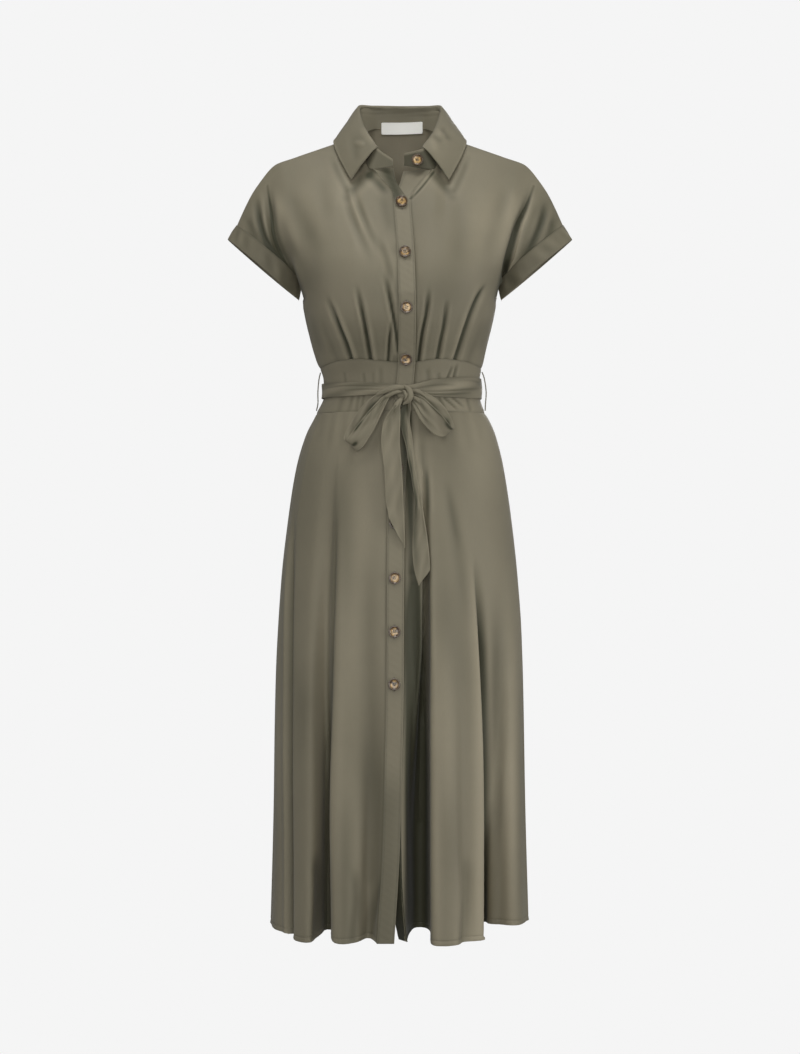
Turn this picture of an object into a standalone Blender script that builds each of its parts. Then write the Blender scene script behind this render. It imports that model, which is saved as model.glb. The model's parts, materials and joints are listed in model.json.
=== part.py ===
"""Short-sleeved midi shirt dress with a tied sash, filled out as if worn but with nobody in it.

Metres, +Z up, the front faces -Y, +X is the wearer's left. The origin is midway between
the shoulders, at the height of the neck ends of the shoulder seams, where the wearer holds it up.
"""

import math
from collections import namedtuple

import bmesh
import bpy
import numpy as np
from mathutils import Matrix, Vector

# ---------------------------------------------------------------- driving sizes
CLOTH = 0.0012  # one layer of the main cloth
BAND_CLOTH = 0.0016  # a folded and interfaced band, such as a placket or waistband
SEAM_GAP = 0.0004  # clear space between two panels that are sewn edge to edge
LAY_GAP = 0.0005  # clear space between a piece and what it lies on

CHEST_Z = -0.238  # level of the underarm, where the upper and lower bodice meet
WAIST_SEAM_Z = -0.408  # lower seam of the waistband
HEM_Z = -1.172
PLACKET_WIDTH = 0.0250
UNDER_STEP = 0.0030  # how far the button placket lies behind the buttonhole placket

BUTTON_RADIUS = 0.0087
BUTTON_THICK = 0.0032
BUTTON_RIM = 0.0012
BUTTON_WELL_RADIUS = 0.0056
BUTTON_HOLE_RADIUS = 0.0009
BUTTON_HOLE_OUT = 0.0017  # from the button's centre to each hole

SASH_THICK = 0.0018
SASH_CLEAR = 0.0016  # between the waistband and the sash
CORD_RADIUS = 0.0010  # crocheted thread carriers at the side seams

OLIVE = (0.190, 0.176, 0.132)
LABEL_CREAM = (0.80, 0.78, 0.68)
HORN = (0.33, 0.20, 0.09)

# ---------------------------------------------------------------- the worn form
# Ring round the body at each level: half width, depth of the front and the back from the
# side seams, how square the front is (2 is an ellipse), and how far it hangs off centre.
Ring = namedtuple("Ring", "z half_width front back squareness shift")
RINGS = [
    Ring(-0.238, 0.1450, 0.138, 0.108, 2.30, -0.0010),
    Ring(-0.268, 0.1400, 0.134, 0.102, 2.25, -0.0010),
    Ring(-0.298, 0.1326, 0.122, 0.094, 2.15, -0.0010),
    Ring(-0.328, 0.1245, 0.108, 0.087, 2.05, 0.0000),
    Ring(-0.358, 0.1160, 0.101, 0.083, 2.00, 0.0025),
    Ring(-0.380, 0.1155, 0.100, 0.085, 2.00, 0.0028),
    Ring(-0.408, 0.1255, 0.103, 0.091, 2.00, 0.0010),
    Ring(-0.440, 0.1408, 0.109, 0.103, 2.00, 0.0000),
    Ring(-0.490, 0.1550, 0.117, 0.118, 2.00, -0.0005),
    Ring(-0.560, 0.1662, 0.126, 0.128, 2.00, -0.0005),
    Ring(-0.660, 0.1770, 0.135, 0.136, 2.00, -0.0008),
    Ring(-0.800, 0.1850, 0.145, 0.143, 2.00, -0.0010),
    Ring(-1.000, 0.1890, 0.157, 0.150, 2.00, -0.0010),
    Ring(-1.172, 0.1940, 0.168, 0.158, 2.00, -0.0010),
]

# Centre line of the front fastening, which wanders a little as the dress hangs.
PLACKET_LINE = [  # (z, x)
    (-0.085, 0.0020),
    (-0.105, 0.0033),
    (-0.180, 0.0083),
    (-0.260, 0.0105),
    (-0.333, 0.0098),
    (-0.400, 0.0036),
    (-0.494, -0.0029),
    (-0.571, -0.0058),
    (-0.650, -0.0065),
    (-0.802, -0.0072),
    (-0.911, -0.0093),
    (-1.039, -0.0128),
    (-1.172, -0.0207),
]

# Gores of the skirt, in order round the dress from the wearer's right front to their left.
# bearing: degrees round the waist from the front centre, + towards the wearer's left.
# hem_x, hem_y: where the gore line meets the hem. start: the share of the skirt's length
# at which it leaves the smooth cone. lift: how far the hem rises there.
Gore = namedtuple("Gore", "name bearing hem_x hem_y start lift")
RIGHT_FRONT_GORES = [
    Gore("shallow_dip", -12, -0.0462, -0.140, 0.45, 0.004),
    Gore("centre_ridge", -22, -0.0640, -0.158, 0.20, 0.000),
    Gore("ridge_edge", -33.5, -0.0915, -0.160, 0.12, 0.000),
    Gore("deep_trough", -37.5, -0.1040, -0.088, 0.08, 0.008),
    Gore("outer_ridge", -47, -0.1262, -0.142, 0.20, -0.001),
    Gore("outer_ridge_edge", -63, -0.1500, -0.125, 0.25, -0.002),
    Gore("outer_dip", -69, -0.1590, -0.090, 0.25, 0.002),
    Gore("side_swell", -79, -0.1850, -0.048, 0.30, 0.003),
    Gore("side_seam", -90, -0.1940, 0.008, 0.30, 0.004),
]
BACK_GORES = [
    Gore("ridge_1", -104, -0.1880, 0.045, 0.25, 0.002),
    Gore("dip_1", -116, -0.1560, 0.060, 0.25, 0.006),
    Gore("ridge_2", -127, -0.1500, 0.112, 0.15, 0.000),
    Gore("dip_2", -138, -0.1130, 0.097, 0.15, 0.006),
    Gore("ridge_3", -149, -0.0980, 0.148, 0.10, 0.000),
    Gore("dip_3", -160, -0.0620, 0.118, 0.10, 0.005),
    Gore("ridge_4", -171, -0.0400, 0.163, 0.15, 0.000),
    Gore("dip_centre", 180, 0.0020, 0.130, 0.20, 0.004),
    Gore("ridge_5", 170, 0.0450, 0.161, 0.12, 0.000),
    Gore("dip_5", 159, 0.0680, 0.114, 0.10, 0.006),
    Gore("ridge_6", 148, 0.1040, 0.146, 0.15, 0.000),
    Gore("dip_6", 137, 0.1200, 0.096, 0.20, 0.006),
    Gore("ridge_7", 126, 0.1560, 0.106, 0.15, 0.001),
    Gore("dip_7", 115, 0.1590, 0.064, 0.25, 0.006),
    Gore("ridge_8", 103, 0.1900, 0.042, 0.30, 0.004),
]
LEFT_FRONT_GORES = [
    Gore("side_seam", 90, 0.1925, 0.004, 0.35, 0.009),
    Gore("side_swell", 78, 0.1760, -0.046, 0.40, 0.009),
    Gore("side_panel", 66, 0.1420, -0.048, 0.45, 0.010),
    Gore("under_back", 56, 0.1130, -0.030, 0.45, 0.010),
    Gore("under_front", 48, 0.1080, -0.066, 0.45, 0.006),
    Gore("overlap_edge", 40, 0.1185, -0.108, 0.42, 0.001),
    Gore("outer_flat", 35, 0.1120, -0.132, 0.35, 0.000),
    Gore("groove", 29, 0.0925, -0.148, 0.50, 0.000),
    Gore("centre_flat", 25, 0.0830, -0.168, 0.35, -0.001),
    Gore("centre_ridge", 20, 0.0643, -0.176, 0.25, -0.002),
    Gore("ridge_edge", 15.5, 0.0443, -0.164, 0.12, -0.001),
    Gore("trough_wall", 13.5, 0.0430, -0.092, 0.10, 0.006),
    Gore("deep_trough", 12, 0.0285, -0.070, 0.08, 0.008),
    Gore("trough_side", 10.5, 0.0150, -0.100, 0.45, 0.004),
]
LEFT_PLACKET_HEM = {"seam": (0.0100, -0.149), "edge": (-0.0020, -0.126)}
LEFT_PLACKET_START = 0.74  # the button placket turns back below this share of the skirt

# Edges of the two placket bands above the top button, where they fall open at the neck.
Band = namedtuple("Band", "seam free")
PLACKET_TOP = -0.100  # the bands run level with each other below this
RIGHT_BAND_NECK = Band(
    seam=[(-0.0469, -0.0427), (-0.066, -0.0265), (-0.088, -0.0110)],  # (z, x)
    free=[(-0.0390, -0.0100), (-0.066, -0.0060), (-0.088, 0.0060)],
)
LEFT_BAND_NECK = Band(
    seam=[(-0.0509, 0.0468), (-0.066, 0.0360), (-0.088, 0.0190)],
    free=[(-0.0450, 0.0060), (-0.066, 0.0010), (-0.088, -0.0060)],
)
CENTRE_DEPTH = [  # (z, depth of the front edge from the side plane)
    (-0.030, 0.048),
    (-0.050, 0.055),
    (-0.075, 0.067),
    (-0.100, 0.080),
    (-0.140, 0.101),
    (-0.180, 0.120),
    (-0.210, 0.131),
    (-0.238, 0.138),
]
NECK_ROLL = 0.011  # how far the free edges of the bands roll inwards at the neck

# Columns of the bodice from the placket out to the sleeve end. top_x, top_z: where the
# column leaves the neckline, shoulder or upper arm. bow: how far it bulges sideways.
# chest and waist: its bearing at the underarm level and at the waistband.
# d0..d4: depth from the side plane, from the top of the column towards its foot.
Column = namedtuple("Column", "name top_x top_z bow chest waist d0 d1 d2 d3 d4")
FRONT_COLUMNS = [
    Column("placket_seam", 0.0440, -0.0480, 0, 6, 6, 0.052, 0.078, 0.106, 0.127, 0.136),
    Column("neck_front", 0.0590, -0.0190, 0, 15, 14, 0.022, 0.055, 0.092, 0.121, 0.135),
    Column("neck_side", 0.0685, 0.0060, 0, 26, 24, -0.012, 0.030, 0.074, 0.113, 0.131),
    Column("collar_edge", 0.0930, -0.0030, 0, 36, 33, -0.008, 0.034, 0.074, 0.107, 0.124),
    Column("mid_shoulder", 0.1250, -0.0147, 0, 47, 43, -0.004, 0.034, 0.069, 0.098, 0.112),
    Column("outer_shoulder", 0.1550, -0.0256, 0, 58, 55, 0.000, 0.032, 0.060, 0.082, 0.092),
    Column("shoulder_end", 0.1863, -0.0370, 0.003, 69, 70, 0.000, 0.029, 0.052, 0.066, 0.067),
    Column("crease_edge", 0.2000, -0.0510, 0.010, 80, 82, 0.000, 0.027, 0.046, 0.052, 0.042),
    Column("crease_foot", 0.2060, -0.0585, -0.014, 90, 90, 0.000, 0.018, 0.028, 0.021, 0.005),
    Column("upper_arm", 0.2190, -0.0775, -0.003, 90, 90, 0.000, 0.026, 0.041, 0.031, 0.009),
    Column("lower_arm", 0.2320, -0.1030, 0.000, 90, 90, 0.000, 0.030, 0.050, 0.040, 0.013),
    Column("cuff_seam", 0.2435, -0.1285, 0.000, 90, 90, 0.000, 0.032, 0.053, 0.043, 0.015),
]
BACK_COLUMNS = [
    Column("centre_back", 0.0000, 0.0300, 0, 0, 0, 0.067, 0.081, 0.099, 0.109, 0.1105),
    Column("neck_back", 0.0380, 0.0265, 0, 14, 14, 0.060, 0.075, 0.096, 0.108, 0.1100),
    Column("neck_side", 0.0685, 0.0060, 0, 27, 27, 0.012, 0.044, 0.082, 0.102, 0.1070),
    Column("collar_edge", 0.0930, -0.0030, 0, 37, 37, 0.008, 0.040, 0.076, 0.096, 0.1010),
    Column("mid_shoulder", 0.1250, -0.0147, 0, 48, 48, 0.004, 0.035, 0.067, 0.086, 0.0910),
    Column("outer_shoulder", 0.1550, -0.0256, 0, 59, 59, 0.000, 0.031, 0.057, 0.072, 0.0760),
    Column("shoulder_end", 0.1863, -0.0370, 0.003, 70, 70, 0.000, 0.027, 0.049, 0.060, 0.0570),
    Column("crease_edge", 0.2000, -0.0510, 0.008, 80, 80, 0.000, 0.025, 0.043, 0.049, 0.0380),
    Column("crease_foot", 0.2060, -0.0585, -0.014, 90, 90, 0.000, 0.018, 0.028, 0.021, 0.0050),
    Column("upper_arm", 0.2190, -0.0775, -0.003, 90, 90, 0.000, 0.026, 0.041, 0.031, 0.0090),
    Column("lower_arm", 0.2320, -0.1030, 0.000, 90, 90, 0.000, 0.030, 0.050, 0.040, 0.0130),
    Column("cuff_seam", 0.2435, -0.1285, 0.000, 90, 90, 0.000, 0.032, 0.053, 0.043, 0.0150),
]
SHOULDER = 2  # columns from here outwards start on the shoulder seam and the upper arm
SIDE = 8  # this column runs on down the side seam; those beyond it belong to the sleeve
UNDERARM = (0.1445, -0.2095)  # (x, z) of the cuff's inner seam under the arm
DEPTH_STATIONS = (0.0, 0.2, 0.45, 0.7, 0.88, 1.0)

# Hem of the turned-up cuff: its top tip and its foot under the arm, as (x, z).
CUFF_TIP = (0.2565, -0.1490)
CUFF_FOOT = (0.1510, -0.2385)
CUFF_HEM_DEPTHS = (0.000, 0.034, 0.055, 0.046, 0.019, 0.000)
CUFF_PROUD = 0.0010

# Waist tucks: columns of the lower bodice that are drawn in, deepest at the waistband.
Tuck = namedtuple("Tuck", "column depth rise")
RIGHT_TUCKS = [Tuck(0.5, 0.003, 0.075), Tuck(1.5, 0.004, 0.100), Tuck(2.5, 0.004, 0.110)]
LEFT_TUCKS = [Tuck(0.5, 0.003, 0.095), Tuck(2.0, 0.004, 0.085), Tuck(3.5, 0.005, 0.120)]
BACK_TUCKS = [Tuck(2.0, 0.004, 0.080), Tuck(4.0, 0.004, 0.080)]
TUCK_HALF = 0.5  # half the width of a tuck, in columns

# Upper seam of the waistband: (bearing, z) from the front centre to the side.
BAND_SEAM = [(0, -0.3393), (14, -0.3355), (30, -0.3320), (50, -0.3345), (75, -0.3400), (90, -0.3410)]
BAND_SEAM_BACK_Z = -0.3410

# ---------------------------------------------------------------- curve tools


def slopes(knots, values):
    """Slopes that keep a cubic through the knots free of overshoot."""
    step = np.diff(knots)
    rise = np.diff(values, axis=0) / step.reshape((-1,) + (1,) * (values.ndim - 1))
    inner = np.where(
        rise[:-1] * rise[1:] > 0,
        2 * rise[:-1] * rise[1:] / np.where(rise[:-1] + rise[1:] == 0, 1, rise[:-1] + rise[1:]),
        0,
    )
    return np.concatenate([rise[:1], inner, rise[-1:]])


def curve_through(knots, values, at):
    """Smooth curve through values at increasing knots, read at the places in `at`."""
    knots, values, at = (np.asarray(a, float) for a in (knots, values, at))
    slope = slopes(knots, values)
    i = np.clip(np.searchsorted(knots, at, side="right") - 1, 0, len(knots) - 2)
    width = knots[i + 1] - knots[i]
    s = (at - knots[i]) / width
    if values.ndim > 1:
        s, width = s[..., None], width[..., None]
    h00 = (1 + 2 * s) * (1 - s) ** 2
    h10 = s * (1 - s) ** 2
    h01 = s * s * (3 - 2 * s)
    h11 = s * s * (s - 1)
    return (
        h00 * values[i] + h10 * width * slope[i] + h01 * values[i + 1] + h11 * width * slope[i + 1]
    )


def ring_at(z):
    """half width, front, back, squareness and shift of the body ring at each level."""
    levels = [-ring.z for ring in RINGS]
    sizes = np.array([list(ring[1:]) for ring in RINGS])
    return np.moveaxis(curve_through(levels, sizes, -np.asarray(z, float)), -1, 0)


def placket_x(z):
    table = np.array(PLACKET_LINE)
    z = np.clip(z, table[-1, 0], table[0, 0])
    return curve_through(-table[:, 0], table[:, 1], -z)


def on_ring(bearing, z):
    """Point of the body ring at a bearing in degrees, for arrays of either."""
    half_width, front, back, square, shift = ring_at(z)
    angle = np.radians(bearing)
    sine, cosine = np.sin(angle), np.cos(angle)
    power = 2 / np.where(cosine > 0, square, 2.0)
    x = shift + half_width * np.sign(sine) * np.abs(sine) ** power
    depth = np.where(cosine > 0, front, back)
    y = -depth * np.sign(cosine) * np.abs(cosine) ** power
    return np.stack(np.broadcast_arrays(x, y, z), axis=-1)


def bearing_of_x(x, z):
    """Bearing on the front of the ring where it has this x."""
    half_width, _, _, square, shift = ring_at(z)
    off = x - shift
    reach = np.clip(np.abs(off) / half_width, 0, 1) ** (square / 2)
    return np.degrees(np.sign(off) * np.arcsin(reach))


# ---------------------------------------------------------------- Blender objects


def clear_scene():
    for obj in list(bpy.data.objects):
        bpy.data.objects.remove(obj, do_unlink=True)


def finish_material(name, colour, roughness):
    material = bpy.data.materials.new(name)
    material.use_nodes = True
    shader = material.node_tree.nodes["Principled BSDF"]
    shader.inputs["Base Color"].default_value = (*colour, 1)
    shader.inputs["Roughness"].default_value = roughness
    return material


def add_object(name, mesh, material, crease=70):
    mesh.materials.append(material)
    mesh.shade_smooth()
    mesh.set_sharp_from_angle(angle=math.radians(crease))
    obj = bpy.data.objects.new(name, mesh)
    bpy.context.scene.collection.objects.link(obj)
    return obj


def cell_corners(row, column, columns, closed):
    nxt = (column + 1) % columns if closed else column + 1
    return (row, column), (row, nxt), (row + 1, nxt), (row + 1, column)


def kept_cells(grid, keep, closed):
    rows, columns = grid.shape[:2]
    for row in range(rows - 1):
        for column in range(columns if closed else columns - 1):
            if keep is None or keep(row, column):
                yield cell_corners(row, column, columns, closed)


def shared_normals(panels, closed=False):
    """Outward normals of grids that meet at seams: {name: (grid, keep)} to {name: normals}."""
    total = {}

    def key(point):
        return tuple(np.round(point * 1e5).astype(int))

    for grid, keep in panels.values():
        for corners in kept_cells(grid, keep, closed):
            a, b, c, d = (grid[i] for i in corners)
            face = np.cross(b - d, c - a)
            for i in corners:
                total[key(grid[i])] = total.get(key(grid[i]), 0) + face
    found = {}
    for name, (grid, _) in panels.items():
        normals = np.array([[total.get(key(p), np.zeros(3)) for p in row] for row in grid])
        length = np.linalg.norm(normals, axis=-1, keepdims=True)
        found[name] = normals / np.maximum(length, 1e-15)
    return found


def drawn_back(grid, keep, closed, gap):
    """The grid with its free edges drawn back by half the clear space of a seam."""
    inward = {}
    edges = set()
    for corners in kept_cells(grid, keep, closed):
        middle = sum(grid[i] for i in corners) / 4
        for i, j in zip(corners, corners[1:] + corners[:1]):
            inward[i] = inward.get(i, 0) + middle - grid[i]
            edges ^= {(min(i, j), max(i, j))}
    grid = grid.copy()
    for i in {end for edge in edges for end in edge}:
        grid[i] = grid[i] + inward[i] / np.linalg.norm(inward[i]) * gap / 2
    return grid


def wall(
    name,
    outer,
    material,
    thickness=CLOTH,
    keep=None,
    closed=False,
    normals=None,
    gap=SEAM_GAP,
):
    """A closed wall of cloth: `outer` is its outside, rows by columns by three.

    keep(row, column) says which cells of the grid are cloth; closed joins the last column
    to the first. Rows run down and columns run so that the outside is on the viewer's side.
    """
    if normals is None:
        normals = shared_normals({name: (outer, keep)}, closed)[name]
    outer = drawn_back(outer, keep, closed, gap)
    skins = (outer, outer - normals * thickness)
    bm = bmesh.new()
    made = {}

    def vert(skin, index):
        if (skin, index) not in made:
            made[skin, index] = bm.verts.new(skins[skin][index])
        return made[skin, index]

    edges = {}
    for corners in kept_cells(outer, keep, closed):
        bm.faces.new([vert(0, i) for i in corners])
        bm.faces.new([vert(1, i) for i in reversed(corners)])
        for i, j in zip(corners, corners[1:] + corners[:1]):
            if edges.pop((j, i), None) is None:
                edges[i, j] = True
    for i, j in edges:
        bm.faces.new([vert(0, j), vert(0, i), vert(1, i), vert(1, j)])
    mesh = bpy.data.meshes.new(name)
    bm.to_mesh(mesh)
    bm.free()
    return add_object(name, mesh, material)


# ---------------------------------------------------------------- surfaces


def bump(distance, half):
    """A smooth bump of height 1 that ends at `half` from its centre."""
    return np.where(np.abs(distance) < half, np.cos(0.5 * np.pi * distance / half) ** 2, 0.0)


def band_edges(side, z):
    """x of the seam and of the free edge of a placket band at heights z."""
    neck = RIGHT_BAND_NECK if side < 0 else LEFT_BAND_NECK
    centre = placket_x(z)
    found = []
    for table, offset in ((neck.seam, side), (neck.free, -side)):
        straight = [(PLACKET_TOP, float(placket_x(PLACKET_TOP)) + offset * PLACKET_WIDTH / 2)]
        knots = np.array(table + straight)
        upper = curve_through(-knots[:, 0], knots[:, 1], -np.clip(z, PLACKET_TOP, knots[0, 0]))
        found.append(np.where(z > PLACKET_TOP, upper, centre + offset * PLACKET_WIDTH / 2))
    return found


def centre_depth(z):
    """Depth of the dress at its front edge, from the neck to the hem."""
    table = np.array(CENTRE_DEPTH)
    upper = curve_through(-table[:, 0], table[:, 1], -np.clip(z, table[-1, 0], table[0, 0]))
    x = placket_x(z)
    return np.where(z > CHEST_Z, upper, -on_ring(bearing_of_x(x, z), z)[..., 1])


def column_table(columns, at):
    """Every number of the column table, read between columns at the places in `at`."""
    numbers = np.array([list(column[1:]) for column in columns], float)
    return curve_through(np.arange(len(columns)), numbers, at)


def band_top(bearing):
    table = np.array(BAND_SEAM)
    return curve_through(table[:, 0], table[:, 1], np.clip(np.abs(bearing), 0, 90))


def arm_depth(depths, share):
    """Depths between the stations, rounding over where a column starts."""
    return curve_through(np.sqrt(DEPTH_STATIONS), np.array(depths), np.sqrt(share))


def bodice_grid(side, columns, at, upper_rows, lower_rows, tucks, seam_step=0.0):
    """Half of the front (side -1 or +1, front) or of the back of the bodice, outside face.

    Rows run from the neck, shoulder and upper arm down to the waistband; columns from the
    centre out to the sleeve end. Beyond SIDE the grid ends at the row of the underarm.
    """
    front = columns is FRONT_COLUMNS
    facing = -1 if front else 1
    values = column_table(columns, at)
    top_x, top_z, bow, chest, waist = values[:, :5].T
    depths = values[:, 5:]
    arm = np.clip((at - SIDE) / (len(columns) - 1 - SIDE), 0, 1)
    ring_foot = on_ring(chest, CHEST_Z)
    if front:
        foot_y = ring_foot[:, 1]
    else:
        foot_y = -on_ring(180 - chest, CHEST_Z)[:, 1]
    foot_y = np.where(at >= SIDE, 0.0, -np.abs(foot_y))
    foot_x = np.where(at > SIDE, ring_foot[:, 0] + (UNDERARM[0] - ring_foot[:, 0]) * arm, ring_foot[:, 0])
    foot_z = CHEST_Z + (UNDERARM[1] - CHEST_Z) * arm
    depths = np.concatenate([depths, -foot_y[:, None]], axis=1)

    share = np.linspace(0, 1, upper_rows + 1)[:, None] ** 1.3
    x = top_x + (foot_x - top_x) * share + bow * 4 * share * (1 - share)
    z = top_z + (foot_z - top_z) * share
    depth = arm_depth(depths.T, share[:, 0])
    upper = np.stack([side * x, facing * depth, z], axis=-1)

    share = np.linspace(0, 1, lower_rows + 1)[1:, None]
    bearing = chest + (waist - chest) * share * share * (3 - 2 * share)
    foot = band_top(waist) if front else np.full_like(waist, BAND_SEAM_BACK_Z)
    z = CHEST_Z + (foot - CHEST_Z) * share
    if front:
        lower = on_ring(side * bearing, z)
    else:
        lower = on_ring(side * (180 - bearing), z)
    grid = np.concatenate([upper, lower])

    if front:
        seam, _ = band_edges(side, grid[:, 0, 2])
        lean = np.clip(1 - at / 2.0, 0, 1) ** 2
        grid[..., 0] += (seam - grid[:, 0, 0])[:, None] * lean
        grid[..., 1] += (-centre_depth(grid[:, 0, 2]) - grid[:, 0, 1])[:, None] * lean
        grid[..., 1] += seam_step * np.clip(1 - at / 1.0, 0, 1) ** 2
    for tuck in tucks:
        reach = np.clip(1 - (grid[..., 2] - foot) / tuck.rise, 0, 1)
        grid[..., 1] -= facing * tuck.depth * reach**1.5 * bump(at - tuck.column, TUCK_HALF)
    return grid


def gore_ring(gores, waist_z, share):
    """Points of the gore lines at one share of the skirt's length, one row per gore."""
    points = []
    for gore, top_z in zip(gores, waist_z):
        z = top_z + share * (HEM_Z + gore.lift - top_z)
        here = on_ring(gore.bearing, z)
        hem = on_ring(gore.bearing, HEM_Z)
        grown = max(0.0, (share - gore.start) / (1 - gore.start)) ** 1.15
        shift = np.array([gore.hem_x - hem[0], gore.hem_y - hem[1], 0]) * grown
        points.append(here + shift)
    return np.array(points)


def through_points(points, steps):
    """Catmull-Rom curve through a row of points, `steps` points to each gap."""
    padded = np.concatenate([[2 * points[0] - points[1]], points, [2 * points[-1] - points[-2]]])
    t = np.arange(0, 1, 1 / steps)[:, None]
    found = []
    for p0, p1, p2, p3 in zip(padded, padded[1:], padded[2:], padded[3:]):
        found.append(
            0.5
            * (
                2 * p1
                + (p2 - p0) * t
                + (2 * p0 - 5 * p1 + 4 * p2 - p3) * t**2
                + (3 * p1 - p0 - 3 * p2 + p3) * t**3
            )
        )
    return np.concatenate(found + [points[-1:]])


def skirt_grid(gores, rows, steps, seam=None):
    """A skirt panel, outside face. seam: a function of share that gives its placket seam."""
    grid = []
    for share in np.linspace(0, 1, rows + 1):
        points = gore_ring(gores, [WAIST_SEAM_Z] * len(gores), share)
        if seam is not None:
            first, point = seam(share)
            points = np.concatenate([[point], points] if first else [points, [point]])
        grid.append(through_points(points, steps))
    return np.array(grid)


def right_seam(share):
    z = WAIST_SEAM_Z + share * (HEM_Z - WAIST_SEAM_Z)
    x = float(band_edges(-1, np.array(z))[0])
    return True, on_ring(bearing_of_x(x, z), z)


def left_band_points(share):
    """Seam and free edge of the button band on the skirt, which turns back near the hem."""
    z = WAIST_SEAM_Z + share * (HEM_Z - WAIST_SEAM_Z)
    seam_x, free_x = (float(x) for x in band_edges(1, np.array(z)))
    turned = max(0.0, (share - LEFT_PLACKET_START) / (1 - LEFT_PLACKET_START)) ** 1.4
    found = []
    for x, (hem_x, hem_y) in ((seam_x, LEFT_PLACKET_HEM["seam"]), (free_x, LEFT_PLACKET_HEM["edge"])):
        point = on_ring(bearing_of_x(x, z), z)
        point[1] += UNDER_STEP
        found.append(point + turned * (np.array([hem_x, hem_y, z]) - point))
    return found


def left_seam(share):
    return False, left_band_points(share)[0]


def facing_out(grid):
    """The grid with its columns turned round if its outside faces its own middle."""
    normals = shared_normals({"grid": (grid, None)})["grid"]
    away = grid - grid.reshape(-1, 3).mean(axis=0)
    return grid if (normals * away).sum() > 0 else grid[:, ::-1]


def upright(centre, across, normal):
    """Matrix that lays a piece made flat in XY, facing +Z, at centre and facing normal."""
    z = Vector(normal).normalized()
    x = (Vector(across) - z * Vector(across).dot(z)).normalized()
    matrix = Matrix((x, z.cross(x), z)).transposed().to_4x4()
    matrix.translation = Vector(centre)
    return matrix


# ---------------------------------------------------------------- bodice


BODICE_STOPS = np.array([*np.arange(0, 5, 0.5), 5, 6, 7, 7.5, 8, 8.5, 9, 10, 11])
UPPER_ROWS = 8
LOWER_ROWS = 5


def bodice():
    """Two fronts and a one-piece back, each with its half sleeves cut on."""
    at = BODICE_STOPS
    rows = UPPER_ROWS, LOWER_ROWS
    right = bodice_grid(-1, FRONT_COLUMNS, at, *rows, RIGHT_TUCKS)
    left = bodice_grid(1, FRONT_COLUMNS, at, *rows, LEFT_TUCKS, UNDER_STEP)
    back_right = bodice_grid(-1, BACK_COLUMNS, at, *rows, BACK_TUCKS)
    back_left = bodice_grid(1, BACK_COLUMNS, at, *rows, BACK_TUCKS)
    for front, half in ((right, back_right), (left, back_left)):
        half[0, at >= SHOULDER] = front[0, at >= SHOULDER]
        half[UPPER_ROWS, at >= SIDE] = front[UPPER_ROWS, at >= SIDE]
        half[UPPER_ROWS:, at == SIDE] = front[UPPER_ROWS:, at == SIDE]
    left = left[:, ::-1]
    back = np.concatenate([back_right[:, ::-1], back_left[:, 1:]], axis=1)

    body = list(at).index(SIDE)
    count = len(at)

    def right_cloth(row, column):
        return row < UPPER_ROWS or column < body

    def left_cloth(row, column):
        return row < UPPER_ROWS or count - 2 - column < body

    def back_cloth(row, column):
        from_centre = column - (count - 1) if column >= count - 1 else count - 2 - column
        return row < UPPER_ROWS or from_centre < body

    return {
        "bodice_front_right": (right, right_cloth),
        "bodice_front_left": (left, left_cloth),
        "bodice_back": (back, back_cloth),
    }


def cuffs(cloth):
    """Turned-up bands round the two sleeve ends."""
    turn = np.linspace(0, 1, 11)
    share = (1 - np.cos(math.pi * turn)) / 2
    for name, side in (("cuff_right", -1), ("cuff_left", 1)):
        rows = []
        for step in (0.0, 0.5, 1.0):
            halves = []
            for columns, facing in ((FRONT_COLUMNS, -1), (BACK_COLUMNS, 1)):
                seam = columns[-1]
                top = np.array([seam.top_x, seam.top_z])
                line = top + (np.array(UNDERARM) - top) * share[:, None]
                hem = np.array(CUFF_TIP) + np.subtract(CUFF_FOOT, CUFF_TIP) * share[:, None]
                at_seam = arm_depth([*seam[6:], 0.0], share) + CUFF_PROUD * np.sin(math.pi * turn)
                at_hem = arm_depth(CUFF_HEM_DEPTHS, share)
                clear = 0.04 + 0.10 * share[:, None]
                xz = line + (hem - line) * (clear + (1 - clear) * step)
                y = at_seam + (at_hem - at_seam) * step
                halves.append(np.stack([side * xz[:, 0], facing * y, xz[:, 1]], axis=-1))
            rows.append(np.concatenate([halves[0], halves[1][-2:0:-1]]))
        wall(name, facing_out(np.array(rows)), cloth, thickness=0.0015, closed=True, gap=0)


# ---------------------------------------------------------------- waist and skirt


def waistband():
    bearings = [6, 10, 15, 22, 30, 40, 50, 60, 70, 80, 90]
    panels = {}
    for name, side, step in (
        ("waistband_front_right", -1, 0.0),
        ("waistband_front_left", 1, UNDER_STEP),
    ):
        rows = []
        for share in np.linspace(0, 1, 5):
            top = band_top(bearings) - SEAM_GAP
            z = top + (WAIST_SEAM_Z - top) * share
            row = on_ring(side * np.array(bearings, float), z)
            seam = band_edges(side, z)[0]
            lean = np.clip(1 - (np.array(bearings) - 6) / 16.0, 0, 1) ** 2
            row[:, 0] += (seam[0] - row[0, 0]) * lean
            row[:, 1] += step * np.clip(1 - (np.array(bearings) - 6) / 9.0, 0, 1) ** 2
            rows.append(row)
        grid = np.array(rows)
        panels[name] = (grid if side < 0 else grid[:, ::-1], None)
    rows = []
    for share in np.linspace(0, 1, 5):
        top = BAND_SEAM_BACK_Z - SEAM_GAP
        z = top + (WAIST_SEAM_Z - top) * share
        rows.append(on_ring(np.linspace(-90, -270, 19), z))
    panels["waistband_back"] = (np.array(rows), None)
    return panels


SKIRT_ROWS = 11
GORE_STEPS = 2


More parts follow.
